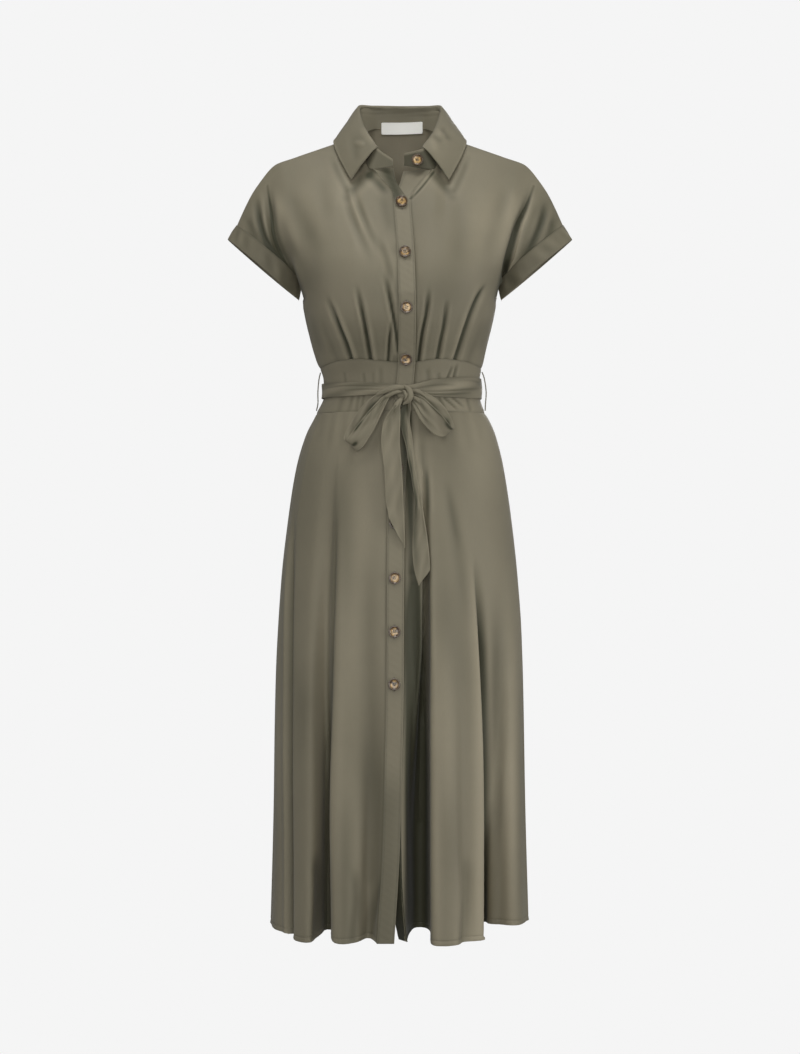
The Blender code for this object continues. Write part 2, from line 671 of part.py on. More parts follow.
def skirt():
    whole_back = [RIGHT_FRONT_GORES[-1], *BACK_GORES, LEFT_FRONT_GORES[0]]
    return {
        "skirt_front_right": (skirt_grid(RIGHT_FRONT_GORES, SKIRT_ROWS, GORE_STEPS, right_seam), None),
        "skirt_back": (skirt_grid(whole_back, SKIRT_ROWS, GORE_STEPS), None),
        "skirt_front_left": (skirt_grid(LEFT_FRONT_GORES, SKIRT_ROWS, GORE_STEPS, left_seam), None),
    }


# ---------------------------------------------------------------- placket bands


def band_sides(side, seams):
    """Seam and free edge of a placket band from the collar stand to the hem.

    seams: the edges of the panels it is sewn to, as rows of points from the top down.
    """
    seam = np.concatenate(seams)
    z = seam[:, 2]
    free = seam.copy()
    free[:, 0] = band_edges(side, z)[1]
    free[:, 1] = -centre_depth(z) + (UNDER_STEP if side > 0 else 0)
    free[:, 1] += NECK_ROLL * np.clip((z - PLACKET_TOP) / 0.05, 0, 1) ** 1.5
    if side > 0:
        for i, height in enumerate(z):
            share = (WAIST_SEAM_Z - height) / (WAIST_SEAM_Z - HEM_Z)
            if share > LEFT_PLACKET_START:
                free[i] = left_band_points(share)[1]
    return seam, free


def plackets(panels):
    """The buttonhole band on the wearer's right and the button band beneath it."""
    tiers = ("bodice", "waistband", "skirt")
    right = [panels[f"{tier}_front_right"][0][:, 0] for tier in tiers]
    left = [panels[f"{tier}_front_left"][0][:, -1] for tier in tiers]
    seam, free = band_sides(-1, right)
    upper = np.stack([free, (seam + free) / 2, seam], axis=1)
    seam, free = band_sides(1, left)
    under = np.stack([seam, (seam + free) / 2, free], axis=1)
    return {"placket_right": (upper, None), "placket_left": (under, None)}


# ---------------------------------------------------------------- collar and label

# Top of the stand at stops along the neckline, from the wearer's left end to the centre
# back: (place, x, y, z). Places 0 to 2 are columns of the front, 2 to 4 those of the back.
STAND_TOP = [
    (0, 0.0323, -0.0535, -0.0205),
    (1, 0.0490, -0.0220, 0.0060),
    (2, 0.0590, 0.0150, 0.0340),
    (2.5, 0.0610, 0.0500, 0.0575),
    (3, 0.0400, 0.0610, 0.0600),
    (4, 0.0000, 0.0650, 0.0605),
]
STAND_PLACES = (0, 0.5, 1, 1.5, 2, 2.5, 3, 3.5, 4)
StandEnd = namedtuple("StandEnd", "foot top")
STAND_ENDS = {
    -1: StandEnd((-0.0103, -0.0465, -0.0455), (-0.0103, -0.0475, -0.0350)),
    1: StandEnd((0.0060, -0.0435, -0.0440), (0.0060, -0.0450, -0.0260)),
}
STAND_LIFT = 0.0016  # between the neckline and the foot of the stand
SHOULDER_EDGE = [  # outer edge of the collar: (x, z), seen from the front, from its point
    (0.0716, -0.0700),
    (0.0900, -0.0260),
    (0.0965, -0.0010),
]
BACK_EDGE = [(0.0840, 0.0560, 0.0020), (0.0480, 0.0800, 0.0000), (0.0000, 0.0860, -0.0005)]
COLLAR_CLEAR = 0.0050  # between the bodice and the outside of the collar's edge
ROLL_OUT = 0.0028  # how far the collar turns over outside the top of its stand
ROLL_UP = 0.0028


def stand_tops(side):
    table = np.array(STAND_TOP)
    tops = curve_through(table[:, 0], table[:, 1:], STAND_PLACES)
    return tops * (side, 1, 1)


def stand_half(side, neckline):
    """Feet and tops of one half of the stand, from its front end to the centre back."""
    tops = np.concatenate([[STAND_ENDS[side].top], stand_tops(side)])
    rise = tops[1:] - neckline
    rise /= np.linalg.norm(rise, axis=1, keepdims=True)
    feet = np.concatenate([[STAND_ENDS[side].foot], neckline + rise * STAND_LIFT])
    return feet, tops


def both_sides(right, left):
    """Joins the two halves of a strip that meet at the centre back."""
    return np.concatenate([right, left[::-1][1:]])


def collar_stand(cloth, right_neckline, left_neckline):
    right, left = stand_half(-1, right_neckline), stand_half(1, left_neckline)
    foot, top = both_sides(right[0], left[0]), both_sides(right[1], left[1])
    grid = np.array([top + (foot - top) * share for share in (0, 1 / 3, 2 / 3, 1)])
    wall("collar_stand", grid, cloth, thickness=BAND_CLOTH, gap=0)


def collar_half(side):
    """Roll line, outer edge and outward directions of one half of the turned-down collar."""
    near = bodice_grid(side, FRONT_COLUMNS, np.linspace(0, 7, 71), 60, 1, []).reshape(-1, 3)
    tops = stand_tops(side)[[0, 2, 4, 5, 6, 8]]
    out = (tops - np.array([0, 0.005, 0])) * (1, 1, 0)
    out /= np.linalg.norm(out, axis=1, keepdims=True)
    roll = tops + out * ROLL_OUT + np.array([0, 0, ROLL_UP])
    edge = []
    for x, z in SHOULDER_EDGE:
        below = near[np.argmin(np.hypot(near[:, 0] - side * x, near[:, 2] - z))]
        edge.append((side * x, below[1] - COLLAR_CLEAR, z))
    edge += [(side * x, y, z) for x, y, z in BACK_EDGE]
    return roll, np.array(edge), out


def collar_fall(cloth):
    """The turned-down collar, its points lying just clear of the fronts."""
    halves = zip(collar_half(-1), collar_half(1))
    roll, edge, out = (through_points(both_sides(right, left), 3) for right, left in halves)
    rows = []
    for share in (0, 0.08, 0.2, 0.4, 0.6, 0.8, 1):
        turn = ROLL_OUT * (1 - (1 - share) ** 6) + 0.004 * math.sin(math.pi * share)
        lift = 0.001 * math.sin(math.pi * min(1, share * 3))
        rows.append(roll + (edge - roll) * share + out * turn + np.array([0, 0, lift]))
    wall("collar_fall", np.array(rows), cloth, thickness=BAND_CLOTH, gap=0)


LABEL_SIZE = (0.060, 0.019)
LABEL_CENTRE = (0.003, 0.0275)  # (x, z)


def neck_label(cloth):
    across = np.linspace(-1, 1, 9) * LABEL_SIZE[0] / 2
    rows = []
    for down in (-1, 0, 1):
        x = LABEL_CENTRE[0] + across
        z = LABEL_CENTRE[1] - down * LABEL_SIZE[1] / 2 - 0.02 * across
        y = 0.0625 - 5.0 * x**2 + 0.0004 * down
        rows.append(np.stack([x, y, z], axis=-1))
    wall("neck_label", np.array(rows), cloth, thickness=0.0008, gap=0)


# ---------------------------------------------------------------- sash

SashStop = namedtuple("SashStop", "bearing top bottom")
SASH = [
    SashStop(4, -0.3680, -0.3830),
    SashStop(-12, -0.3675, -0.3845),
    SashStop(-40, -0.3650, -0.3860),
    SashStop(-90, -0.3635, -0.3865),
    SashStop(-180, -0.3590, -0.3875),
    SashStop(-270, -0.3560, -0.3870),
    SashStop(-310, -0.3565, -0.3880),
    SashStop(-335, -0.3610, -0.3860),
    SashStop(-350, -0.3665, -0.3830),
    SashStop(-356, -0.3680, -0.3830),
]
KNOT_CENTRE = (0.0090, -0.1140, -0.3795)
KNOT_RADII = (0.0095, 0.0075, 0.0150)
BOW_WIDTH = 0.026

RibbonStop = namedtuple("RibbonStop", "x y z across_x across_y across_z")
LOOP_RIGHT = [  # centre line from the knot out and back, and half the width across it
    RibbonStop(-0.0040, -0.1150, -0.3835, 0.0040, -0.0010, -0.0060),
    RibbonStop(-0.0270, -0.1200, -0.4070, 0.0080, -0.0010, -0.0070),
    RibbonStop(-0.0460, -0.1205, -0.4330, 0.0105, -0.0010, -0.0065),
    RibbonStop(-0.0590, -0.1180, -0.4500, 0.0085, 0.0000, -0.0050),
    RibbonStop(-0.0630, -0.1135, -0.4540, 0.0075, 0.0010, -0.0045),
    RibbonStop(-0.0600, -0.1100, -0.4450, 0.0080, 0.0010, -0.0050),
    RibbonStop(-0.0480, -0.1090, -0.4230, 0.0095, 0.0010, -0.0060),
    RibbonStop(-0.0290, -0.1095, -0.3990, 0.0080, 0.0010, -0.0060),
    RibbonStop(-0.0060, -0.1105, -0.3800, 0.0040, 0.0010, -0.0060),
]
LOOP_LEFT = [
    RibbonStop(0.0215, -0.1150, -0.3835, 0.0030, -0.0010, 0.0060),
    RibbonStop(0.0400, -0.1190, -0.4060, 0.0095, -0.0010, 0.0065),
    RibbonStop(0.0560, -0.1200, -0.4270, 0.0115, -0.0010, 0.0080),
    RibbonStop(0.0660, -0.1175, -0.4350, 0.0075, 0.0000, 0.0060),
    RibbonStop(0.0690, -0.1130, -0.4360, 0.0070, 0.0000, 0.0060),
    RibbonStop(0.0670, -0.1095, -0.4290, 0.0075, 0.0010, 0.0060),
    RibbonStop(0.0560, -0.1080, -0.4120, 0.0085, 0.0010, 0.0065),
    RibbonStop(0.0400, -0.1090, -0.3950, 0.0070, 0.0010, 0.0060),
    RibbonStop(0.0225, -0.1100, -0.3810, 0.0030, 0.0010, 0.0060),
]
TAIL_RIGHT = [
    RibbonStop(0.0000, -0.1215, -0.3970, 0.0050, 0.0000, 0.0020),
    RibbonStop(-0.0110, -0.1240, -0.4200, 0.0115, -0.0010, 0.0020),
    RibbonStop(-0.0144, -0.1250, -0.4500, 0.0136, 0.0000, 0.0000),
    RibbonStop(-0.0101, -0.1285, -0.4943, 0.0128, 0.0010, 0.0000),
    RibbonStop(-0.0080, -0.1310, -0.5391, 0.0125, -0.0010, 0.0000),
    RibbonStop(-0.0058, -0.1325, -0.5650, 0.0120, 0.0000, -0.0140),
    RibbonStop(-0.0045, -0.1330, -0.5900, 0.0120, 0.0010, -0.0205),
]
TAIL_LEFT = [
    RibbonStop(0.0105, -0.1170, -0.4000, 0.0040, 0.0000, 0.0000),
    RibbonStop(0.0105, -0.1180, -0.4200, 0.0050, 0.0030, 0.0000),
    RibbonStop(0.0120, -0.1200, -0.4508, 0.0055, 0.0050, 0.0000),
    RibbonStop(0.0165, -0.1235, -0.4942, 0.0060, 0.0055, 0.0000),
    RibbonStop(0.0246, -0.1270, -0.5376, 0.0065, 0.0030, 0.0000),
    RibbonStop(0.0275, -0.1285, -0.5593, 0.0075, -0.0010, 0.0000),
    RibbonStop(0.0289, -0.1300, -0.5954, 0.0105, 0.0000, 0.0000),
    RibbonStop(0.0310, -0.1325, -0.6350, 0.0105, 0.0000, 0.0100),
]


def sash_band(cloth):
    stops = np.array(SASH, float)
    bearings = np.linspace(SASH[0].bearing, SASH[-1].bearing, 45)[:-1]
    spans = curve_through(-stops[:, 0], stops[:, 1:], -bearings)
    rows = []
    for share in (0, 0.5, 1):
        z = spans[:, 0] + (spans[:, 1] - spans[:, 0]) * share
        rows.append(on_ring(bearings, z))
    grid = np.array(rows)
    normals = shared_normals({"sash": (grid, None)}, closed=True)["sash"]
    grid = grid + normals * (0.0003 + SASH_CLEAR + SASH_THICK)
    wall("sash_band", grid, cloth, SASH_THICK, closed=True, normals=normals, gap=0)


def sash_knot(cloth):
    bm = bmesh.new()
    bmesh.ops.create_icosphere(bm, subdivisions=3, radius=1)
    for vert in bm.verts:
        x, y, z = vert.co
        wrap = 1 + 0.10 * math.sin(4 * z + 3 * x)
        turned = Vector((x * wrap, y * wrap, z)) * Vector(KNOT_RADII)
        vert.co = Matrix.Rotation(math.radians(18), 3, "Y") @ turned + Vector(KNOT_CENTRE)
    mesh = bpy.data.meshes.new("sash_knot")
    bm.to_mesh(mesh)
    bm.free()
    add_object("sash_knot", mesh, cloth)


def ribbon(name, stops, cloth, steps, thickness=SASH_THICK):
    table = through_points(np.array(stops, float), steps)
    centre, half = table[:, :3], table[:, 3:]
    bow = np.cross(half, np.gradient(centre, axis=0))
    bow /= np.linalg.norm(bow, axis=1, keepdims=True)
    rows = [centre - half, centre + bow * 0.0006, centre + half]
    wall(name, np.stack(rows, axis=1), cloth, thickness, gap=0)


def sash(cloth):
    sash_band(cloth)
    sash_knot(cloth)
    ribbon("bow_loop_right", LOOP_RIGHT, cloth, 3)
    ribbon("bow_loop_left", LOOP_LEFT, cloth, 3)
    ribbon("sash_tail_right", TAIL_RIGHT, cloth, 3)
    ribbon("sash_tail_left", TAIL_LEFT, cloth, 3)


# ---------------------------------------------------------------- carriers and buttons

CARRIERS = {  # path of each thread carrier on the outside of the sash, (bearing, out, z)
    "belt_carrier_right": [
        (-88, 0.0022, -0.347),
        (-90, 0.0066, -0.358),
        (-92, 0.0080, -0.376),
        (-92, 0.0064, -0.392),
        (-91, 0.0022, -0.402),
    ],
    "belt_carrier_left": [
        (86, 0.0022, -0.346),
        (86, 0.0066, -0.357),
        (88, 0.0084, -0.376),
        (88, 0.0066, -0.393),
        (87, 0.0022, -0.403),
    ],
}


def tube(name, path, radius, material, sides=8):
    """A round cord along a path of points, closed at both ends."""
    along = np.gradient(path, axis=0)
    along /= np.linalg.norm(along, axis=1, keepdims=True)
    across = np.cross(along, (0, 1, 0))
    across /= np.linalg.norm(across, axis=1, keepdims=True)
    other = np.cross(along, across)
    turn = np.linspace(0, 2 * math.pi, sides, endpoint=False)
    bm = bmesh.new()
    rings = []
    for centre, a, b in zip(path, across, other):
        rings.append([bm.verts.new(centre + radius * (a * math.cos(t) + b * math.sin(t))) for t in turn])
    for first, second in zip(rings, rings[1:]):
        for i in range(sides):
            j = (i + 1) % sides
            bm.faces.new([first[i], first[j], second[j], second[i]])
    bm.faces.new(rings[0][::-1])
    bm.faces.new(rings[-1])
    bmesh.ops.recalc_face_normals(bm, faces=bm.faces)
    mesh = bpy.data.meshes.new(name)
    bm.to_mesh(mesh)
    bm.free()
    add_object(name, mesh, material)


def carriers(thread):
    for name, stops in CARRIERS.items():
        points = []
        for bearing, out, z in stops:
            point = on_ring(bearing, z)
            point[0] += math.copysign(out, point[0])
            points.append(point)
        tube(name, through_points(np.array(points), 4), CORD_RADIUS, thread)


# Button heights down the front; the three in the middle are under the sash and its tail.
BUTTON_HEIGHTS = (-0.1032, -0.1797, -0.2599, -0.3332, -0.4112, -0.4912, -0.5708, -0.6502, -0.7272, -0.8026)
COLLAR_BUTTON = (0.0257, -0.0540, -0.0370)  # on the wearer's left end of the stand
BUTTON_PROFILE = [  # (radius, height above the back)
    (0.0, 0.0018),
    (BUTTON_WELL_RADIUS - 0.0008, 0.0018),
    (BUTTON_WELL_RADIUS, 0.0022),
    (BUTTON_WELL_RADIUS + 0.0010, BUTTON_THICK),
    (BUTTON_RADIUS - BUTTON_RIM / 2, BUTTON_THICK),
    (BUTTON_RADIUS, BUTTON_THICK - 0.0008),
    (BUTTON_RADIUS, 0.0010),
    (BUTTON_RADIUS - 0.0016, 0.0),
]


def button_mesh(material):
    """A four-hole button with a raised rim round a shallow well, lying on its back in XY."""
    segments = 28
    bm = bmesh.new()
    rings = []
    for radius, height in BUTTON_PROFILE[1:]:
        turn = [2 * math.pi * i / segments for i in range(segments)]
        rings.append([bm.verts.new((radius * math.cos(t), radius * math.sin(t), height)) for t in turn])
    for first, second in zip(rings, rings[1:]):
        for i in range(segments):
            j = (i + 1) % segments
            bm.faces.new([first[j], first[i], second[i], second[j]])
    bm.faces.new(rings[0])
    bm.faces.new(rings[-1][::-1])
    bmesh.ops.recalc_face_normals(bm, faces=bm.faces)
    mesh = bpy.data.meshes.new("button")
    bm.to_mesh(mesh)
    bm.free()
    button = bpy.data.objects.new("button_blank", mesh)
    bpy.context.scene.collection.objects.link(button)
    holes = bmesh.new()
    for i in range(4):
        angle = math.pi * (i + 0.5) / 2
        place = Matrix.Translation(
            (BUTTON_HOLE_OUT * math.cos(angle), BUTTON_HOLE_OUT * math.sin(angle), 0.001)
        )
        bmesh.ops.create_cone(
            holes,
            cap_ends=True,
            segments=10,
            radius1=BUTTON_HOLE_RADIUS,
            radius2=BUTTON_HOLE_RADIUS,
            depth=0.006,
            matrix=place,
        )
    hole_mesh = bpy.data.meshes.new("button_holes")
    holes.to_mesh(hole_mesh)
    holes.free()
    cutter = bpy.data.objects.new("button_hole_cutter", hole_mesh)
    bpy.context.scene.collection.objects.link(cutter)
    cut = button.modifiers.new("holes", "BOOLEAN")
    cut.operation = "DIFFERENCE"
    cut.solver = "EXACT"
    cut.object = cutter
    bpy.context.view_layer.update()
    graph = bpy.context.evaluated_depsgraph_get()
    finished = bpy.data.meshes.new_from_object(button.evaluated_get(graph))
    for helper in (button, cutter):
        bpy.data.objects.remove(helper, do_unlink=True)
    finished.materials.clear()
    finished.materials.append(material)
    finished.shade_smooth()
    finished.set_sharp_from_angle(angle=math.radians(35))
    return finished


def at_height(line, z):
    """Point at height z on a line of points that runs downwards."""
    return np.array([np.interp(-z, -line[:, 2], line[:, i]) for i in range(3)])


def buttons(material, placket_line):
    mesh = button_mesh(material)

    def place(name, centre, normal, spin):
        button = bpy.data.objects.new(name, mesh.copy())
        turned = Matrix.Rotation(spin, 4, "Z")
        button.matrix_world = upright(centre, (1, 0, 0), normal) @ turned
        bpy.context.scene.collection.objects.link(button)

    for number, z in enumerate(BUTTON_HEIGHTS, 1):
        above, centre, below = (at_height(placket_line, z + step) for step in (0.008, 0, -0.008))
        normal = Vector((1, 0, 0)).cross(Vector(above - below)).normalized()
        sag = max(0.0, float(((above + below) / 2 - centre) @ np.array(normal)))
        place(f"button_{number:02d}", Vector(centre) + normal * (LAY_GAP + sag), normal, 0.9 * number)
    x, y, z = COLLAR_BUTTON
    place("button_collar", (x, y, z), (-0.12, -1, 0.10), 0.4)


def build():
    clear_scene()
    cloth = finish_material("olive_viscose", OLIVE, 0.72)
    thread = finish_material("olive_thread", OLIVE, 0.80)
    cream = finish_material("cream_label", LABEL_CREAM, 0.60)
    horn = finish_material("marbled_horn", HORN, 0.28)
    panels = bodice() | waistband() | skirt()
    panels |= plackets(panels)
    normals = shared_normals(panels)
    for name, (grid, keep) in panels.items():
        thickness = CLOTH if name.startswith(("bodice", "skirt")) else BAND_CLOTH
        wall(name, grid, cloth, thickness, keep, normals=normals[name])
    cuffs(cloth)
    right, left, back = (panels[f"bodice_{part}"][0][0] for part in ("front_right", "front_left", "back"))
    middle = len(BODICE_STOPS) - 1
    collar_stand(
        cloth,
        np.concatenate([right[:5], back[middle - 3 : middle + 1]]),
        np.concatenate([left[::-1][:5], back[middle : middle + 4][::-1]]),
    )
    collar_fall(cloth)
    neck_label(cream)
    sash(cloth)
    carriers(thread)
    buttons(horn, panels["placket_right"][0][:, 1])


build()
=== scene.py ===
"""Looks of the olive shirt dress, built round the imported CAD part.

Metres, +Z up; the tables of folds, ribbons and knot strands are in millimetres. The front of
the dress faces -Y and +X is the wearer's left. The cloth is made of thin shells that follow
the same surfaces as the CAD panels, sampled finer and with their creases, hems and wrinkles.
"""

import json
import math
from collections import namedtuple

import bpy
import numpy as np
from mathutils import Matrix, Vector

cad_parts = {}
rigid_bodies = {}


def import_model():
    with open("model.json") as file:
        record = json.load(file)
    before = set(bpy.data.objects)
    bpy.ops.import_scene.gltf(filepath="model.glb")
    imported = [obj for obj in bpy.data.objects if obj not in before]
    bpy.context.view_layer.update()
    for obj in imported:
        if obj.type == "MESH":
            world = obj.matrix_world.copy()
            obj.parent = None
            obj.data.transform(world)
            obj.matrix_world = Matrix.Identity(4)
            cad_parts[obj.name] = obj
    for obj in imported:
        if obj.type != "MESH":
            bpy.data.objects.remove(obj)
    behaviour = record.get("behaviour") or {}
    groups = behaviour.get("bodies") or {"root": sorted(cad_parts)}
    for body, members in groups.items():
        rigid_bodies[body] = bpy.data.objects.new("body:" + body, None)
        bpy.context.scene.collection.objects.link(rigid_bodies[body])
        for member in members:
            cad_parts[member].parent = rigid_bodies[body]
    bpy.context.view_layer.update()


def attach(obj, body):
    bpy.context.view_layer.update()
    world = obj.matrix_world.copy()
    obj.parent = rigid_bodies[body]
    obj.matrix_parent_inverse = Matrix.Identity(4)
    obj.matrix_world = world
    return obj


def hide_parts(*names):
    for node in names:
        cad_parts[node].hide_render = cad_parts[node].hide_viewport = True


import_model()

# ---------------------------------------------------------------- driving sizes
MM = 0.001
CLOTH = 0.0011  # one layer of the main cloth
BAND_CLOTH = 0.0018  # a folded and interfaced band, such as a placket or waistband
SASH_CLOTH = 0.0014
CUFF_CLOTH = 0.0018
SEAM_DIP = 0.0007  # how far cloth is drawn in along a seam
SEAM_REACH = 0.0022  # distance from the seam over which it recovers

CHEST_Z = -0.238  # level of the underarm, where the upper and lower bodice meet
WAIST_SEAM_Z = -0.408  # lower seam of the waistband
HEM_Z = -1.172
HEM_FOLD = 0.0085  # height of the narrow folded hem
PLACKET_WIDTH = 0.0250
PLACKET_PROUD = 0.0004  # how far the bands stand out from the panels they are sewn to
UNDER_STEP = 0.0030  # how far the button placket lies behind the buttonhole placket

STITCH_LIFT = 0.00012  # how far the thread's middle lies above the cloth
STITCH = (0.0030, 0.0022, 0.00045)  # pitch, length and width of the plain stitching

# ---------------------------------------------------------------- the worn form
# Ring round the body at each level: half width, depth of the front and the back from the
# side seams, how square the front is (2 is an ellipse), and how far it hangs off centre.
Ring = namedtuple("Ring", "z half_width front back squareness shift")
RINGS = [
    Ring(-0.238, 0.1450, 0.138, 0.108, 2.30, -0.0010),
    Ring(-0.268, 0.1400, 0.134, 0.102, 2.25, -0.0010),
    Ring(-0.298, 0.1326, 0.122, 0.094, 2.15, -0.0010),
    Ring(-0.328, 0.1245, 0.108, 0.087, 2.05, 0.0000),
    Ring(-0.358, 0.1160, 0.101, 0.083, 2.00, 0.0025),
    Ring(-0.380, 0.1155, 0.100, 0.085, 2.00, 0.0028),
    Ring(-0.408, 0.1255, 0.103, 0.091, 2.00, 0.0010),
    Ring(-0.440, 0.1408, 0.109, 0.103, 2.00, 0.0000),
    Ring(-0.490, 0.1550, 0.117, 0.118, 2.00, -0.0005),
    Ring(-0.560, 0.1662, 0.126, 0.128, 2.00, -0.0005),
    Ring(-0.660, 0.1770, 0.135, 0.136, 2.00, -0.0008),
    Ring(-0.800, 0.1850, 0.145, 0.143, 2.00, -0.0010),
    Ring(-1.000, 0.1890, 0.157, 0.150, 2.00, -0.0010),
    Ring(-1.172, 0.1940, 0.168, 0.158, 2.00, -0.0010),
]

# Centre line of the front fastening, which wanders a little as the dress hangs.
PLACKET_LINE = [  # (z, x)
    (-0.085, 0.0020),
    (-0.105, 0.0033),
    (-0.180, 0.0083),
    (-0.260, 0.0105),
    (-0.333, 0.0098),
    (-0.400, 0.0036),
    (-0.494, -0.0029),
    (-0.571, -0.0058),
    (-0.650, -0.0065),
    (-0.802, -0.0072),
    (-0.911, -0.0093),
    (-1.039, -0.0128),
    (-1.172, -0.0207),
]

# Gores of the skirt, in order round the dress from the wearer's right front to their left.
# bearing: degrees round the waist from the front centre, + towards the wearer's left.
# hem_x, hem_y: where the gore line meets the hem. start: the share of the skirt's length
# at which it leaves the smooth cone. lift: how far the hem rises there.
Gore = namedtuple("Gore", "name bearing hem_x hem_y start lift")
RIGHT_FRONT_GORES = [
    Gore("shallow_dip", -12, -0.0462, -0.140, 0.45, 0.004),
    Gore("centre_ridge", -22, -0.0640, -0.158, 0.20, 0.000),
    Gore("ridge_edge", -33.5, -0.0915, -0.160, 0.12, 0.000),
    Gore("deep_trough", -37.5, -0.1040, -0.088, 0.08, 0.008),
    Gore("outer_ridge", -47, -0.1262, -0.142, 0.20, -0.001),
    Gore("outer_ridge_edge", -63, -0.1500, -0.125, 0.25, -0.002),
    Gore("outer_dip", -69, -0.1590, -0.090, 0.25, 0.002),
    Gore("side_swell", -79, -0.1850, -0.048, 0.30, 0.003),
    Gore("side_seam", -90, -0.1940, 0.008, 0.30, 0.004),
]
BACK_GORES = [
    Gore("ridge_1", -104, -0.1880, 0.045, 0.25, 0.002),
    Gore("dip_1", -116, -0.1560, 0.060, 0.25, 0.006),
    Gore("ridge_2", -127, -0.1500, 0.112, 0.15, 0.000),
    Gore("dip_2", -138, -0.1130, 0.097, 0.15, 0.006),
    Gore("ridge_3", -149, -0.0980, 0.148, 0.10, 0.000),
    Gore("dip_3", -160, -0.0620, 0.118, 0.10, 0.005),
    Gore("ridge_4", -171, -0.0400, 0.163, 0.15, 0.000),
    Gore("dip_centre", 180, 0.0020, 0.130, 0.20, 0.004),
    Gore("ridge_5", 170, 0.0450, 0.161, 0.12, 0.000),
    Gore("dip_5", 159, 0.0680, 0.114, 0.10, 0.006),
    Gore("ridge_6", 148, 0.1040, 0.146, 0.15, 0.000),
    Gore("dip_6", 137, 0.1200, 0.096, 0.20, 0.006),
    Gore("ridge_7", 126, 0.1560, 0.106, 0.15, 0.001),
    Gore("dip_7", 115, 0.1590, 0.064, 0.25, 0.006),
    Gore("ridge_8", 103, 0.1900, 0.042, 0.30, 0.004),
]
LEFT_FRONT_GORES = [
    Gore("side_seam", 90, 0.1925, 0.004, 0.35, 0.009),
    Gore("side_swell", 78, 0.1760, -0.046, 0.40, 0.009),
    Gore("side_panel", 66, 0.1420, -0.048, 0.45, 0.010),
    Gore("under_back", 56, 0.1130, -0.030, 0.45, 0.010),
    Gore("under_front", 48, 0.1080, -0.066, 0.45, 0.006),
    Gore("overlap_edge", 40, 0.1185, -0.108, 0.42, 0.001),
    Gore("outer_flat", 35, 0.1120, -0.132, 0.35, 0.000),
    Gore("groove", 29, 0.0925, -0.148, 0.50, 0.000),
    Gore("centre_flat", 25, 0.0830, -0.168, 0.35, -0.001),
    Gore("centre_ridge", 20, 0.0643, -0.176, 0.25, -0.002),
    Gore("ridge_edge", 15.5, 0.0443, -0.164, 0.12, -0.001),
    Gore("trough_wall", 13.5, 0.0430, -0.092, 0.10, 0.006),
    Gore("deep_trough", 12, 0.0285, -0.070, 0.08, 0.008),
    Gore("trough_side", 10.5, 0.0150, -0.100, 0.45, 0.004),
]
LEFT_PLACKET_HEM = {"seam": (0.0100, -0.149), "edge": (-0.0020, -0.126)}
LEFT_PLACKET_START = 0.74  # the button placket turns back below this share of the skirt

# Edges of the two placket bands above the top button, where they fall open at the neck.
Band = namedtuple("Band", "seam free")
PLACKET_TOP = -0.100  # the bands run level with each other below this
RIGHT_BAND_NECK = Band(
    seam=[(-0.0469, -0.0427), (-0.066, -0.0265), (-0.088, -0.0110)],  # (z, x)
    free=[(-0.0390, -0.0100), (-0.066, -0.0060), (-0.088, 0.0060)],
)
LEFT_BAND_NECK = Band(
    seam=[(-0.0509, 0.0468), (-0.066, 0.0360), (-0.088, 0.0190)],
    free=[(-0.0450, 0.0060), (-0.066, 0.0010), (-0.088, -0.0060)],
)
CENTRE_DEPTH = [  # (z, depth of the front edge from the side plane)
    (-0.030, 0.048),
    (-0.050, 0.055),
    (-0.075, 0.067),
    (-0.100, 0.080),
    (-0.140, 0.101),
    (-0.180, 0.120),
    (-0.210, 0.131),
    (-0.238, 0.138),
]
NECK_ROLL = 0.020  # how far the free edges of the bands roll inwards at the neck

# Columns of the bodice from the placket out to the sleeve end. top_x, top_z: where the
# column leaves the neckline, shoulder or upper arm. bow: how far it bulges sideways.
# chest and waist: its bearing at the underarm level and at the waistband.
# d0..d4: depth from the side plane, from the top of the column towards its foot.
Column = namedtuple("Column", "name top_x top_z bow chest waist d0 d1 d2 d3 d4")
FRONT_COLUMNS = [
    Column("placket_seam", 0.0440, -0.0480, 0, 6, 6, 0.052, 0.078, 0.106, 0.127, 0.136),
    Column("neck_front", 0.0590, -0.0190, 0, 15, 14, 0.022, 0.055, 0.092, 0.121, 0.135),
    Column("neck_side", 0.0685, 0.0060, 0, 26, 24, -0.012, 0.030, 0.074, 0.113, 0.131),
    Column("collar_edge", 0.0930, -0.0030, 0, 36, 33, -0.008, 0.034, 0.074, 0.107, 0.124),
    Column("mid_shoulder", 0.1250, -0.0147, 0, 47, 43, -0.004, 0.034, 0.069, 0.098, 0.112),
    Column("outer_shoulder", 0.1550, -0.0256, 0, 58, 55, 0.000, 0.032, 0.060, 0.082, 0.092),
    Column("shoulder_end", 0.1863, -0.0370, 0.003, 69, 70, 0.000, 0.029, 0.052, 0.066, 0.067),
    Column("crease_edge", 0.2000, -0.0510, 0.010, 80, 82, 0.000, 0.027, 0.046, 0.052, 0.042),
    Column("crease_foot", 0.2060, -0.0585, -0.014, 90, 90, 0.000, 0.018, 0.028, 0.021, 0.005),
    Column("upper_arm", 0.2190, -0.0775, -0.003, 90, 90, 0.000, 0.028, 0.041, 0.031, 0.009),
    Column("lower_arm", 0.2320, -0.1030, 0.000, 90, 90, 0.000, 0.026, 0.040, 0.031, 0.010),
    Column("cuff_seam", 0.2435, -0.1285, 0.000, 90, 90, 0.000, 0.024, 0.036, 0.029, 0.011),
]
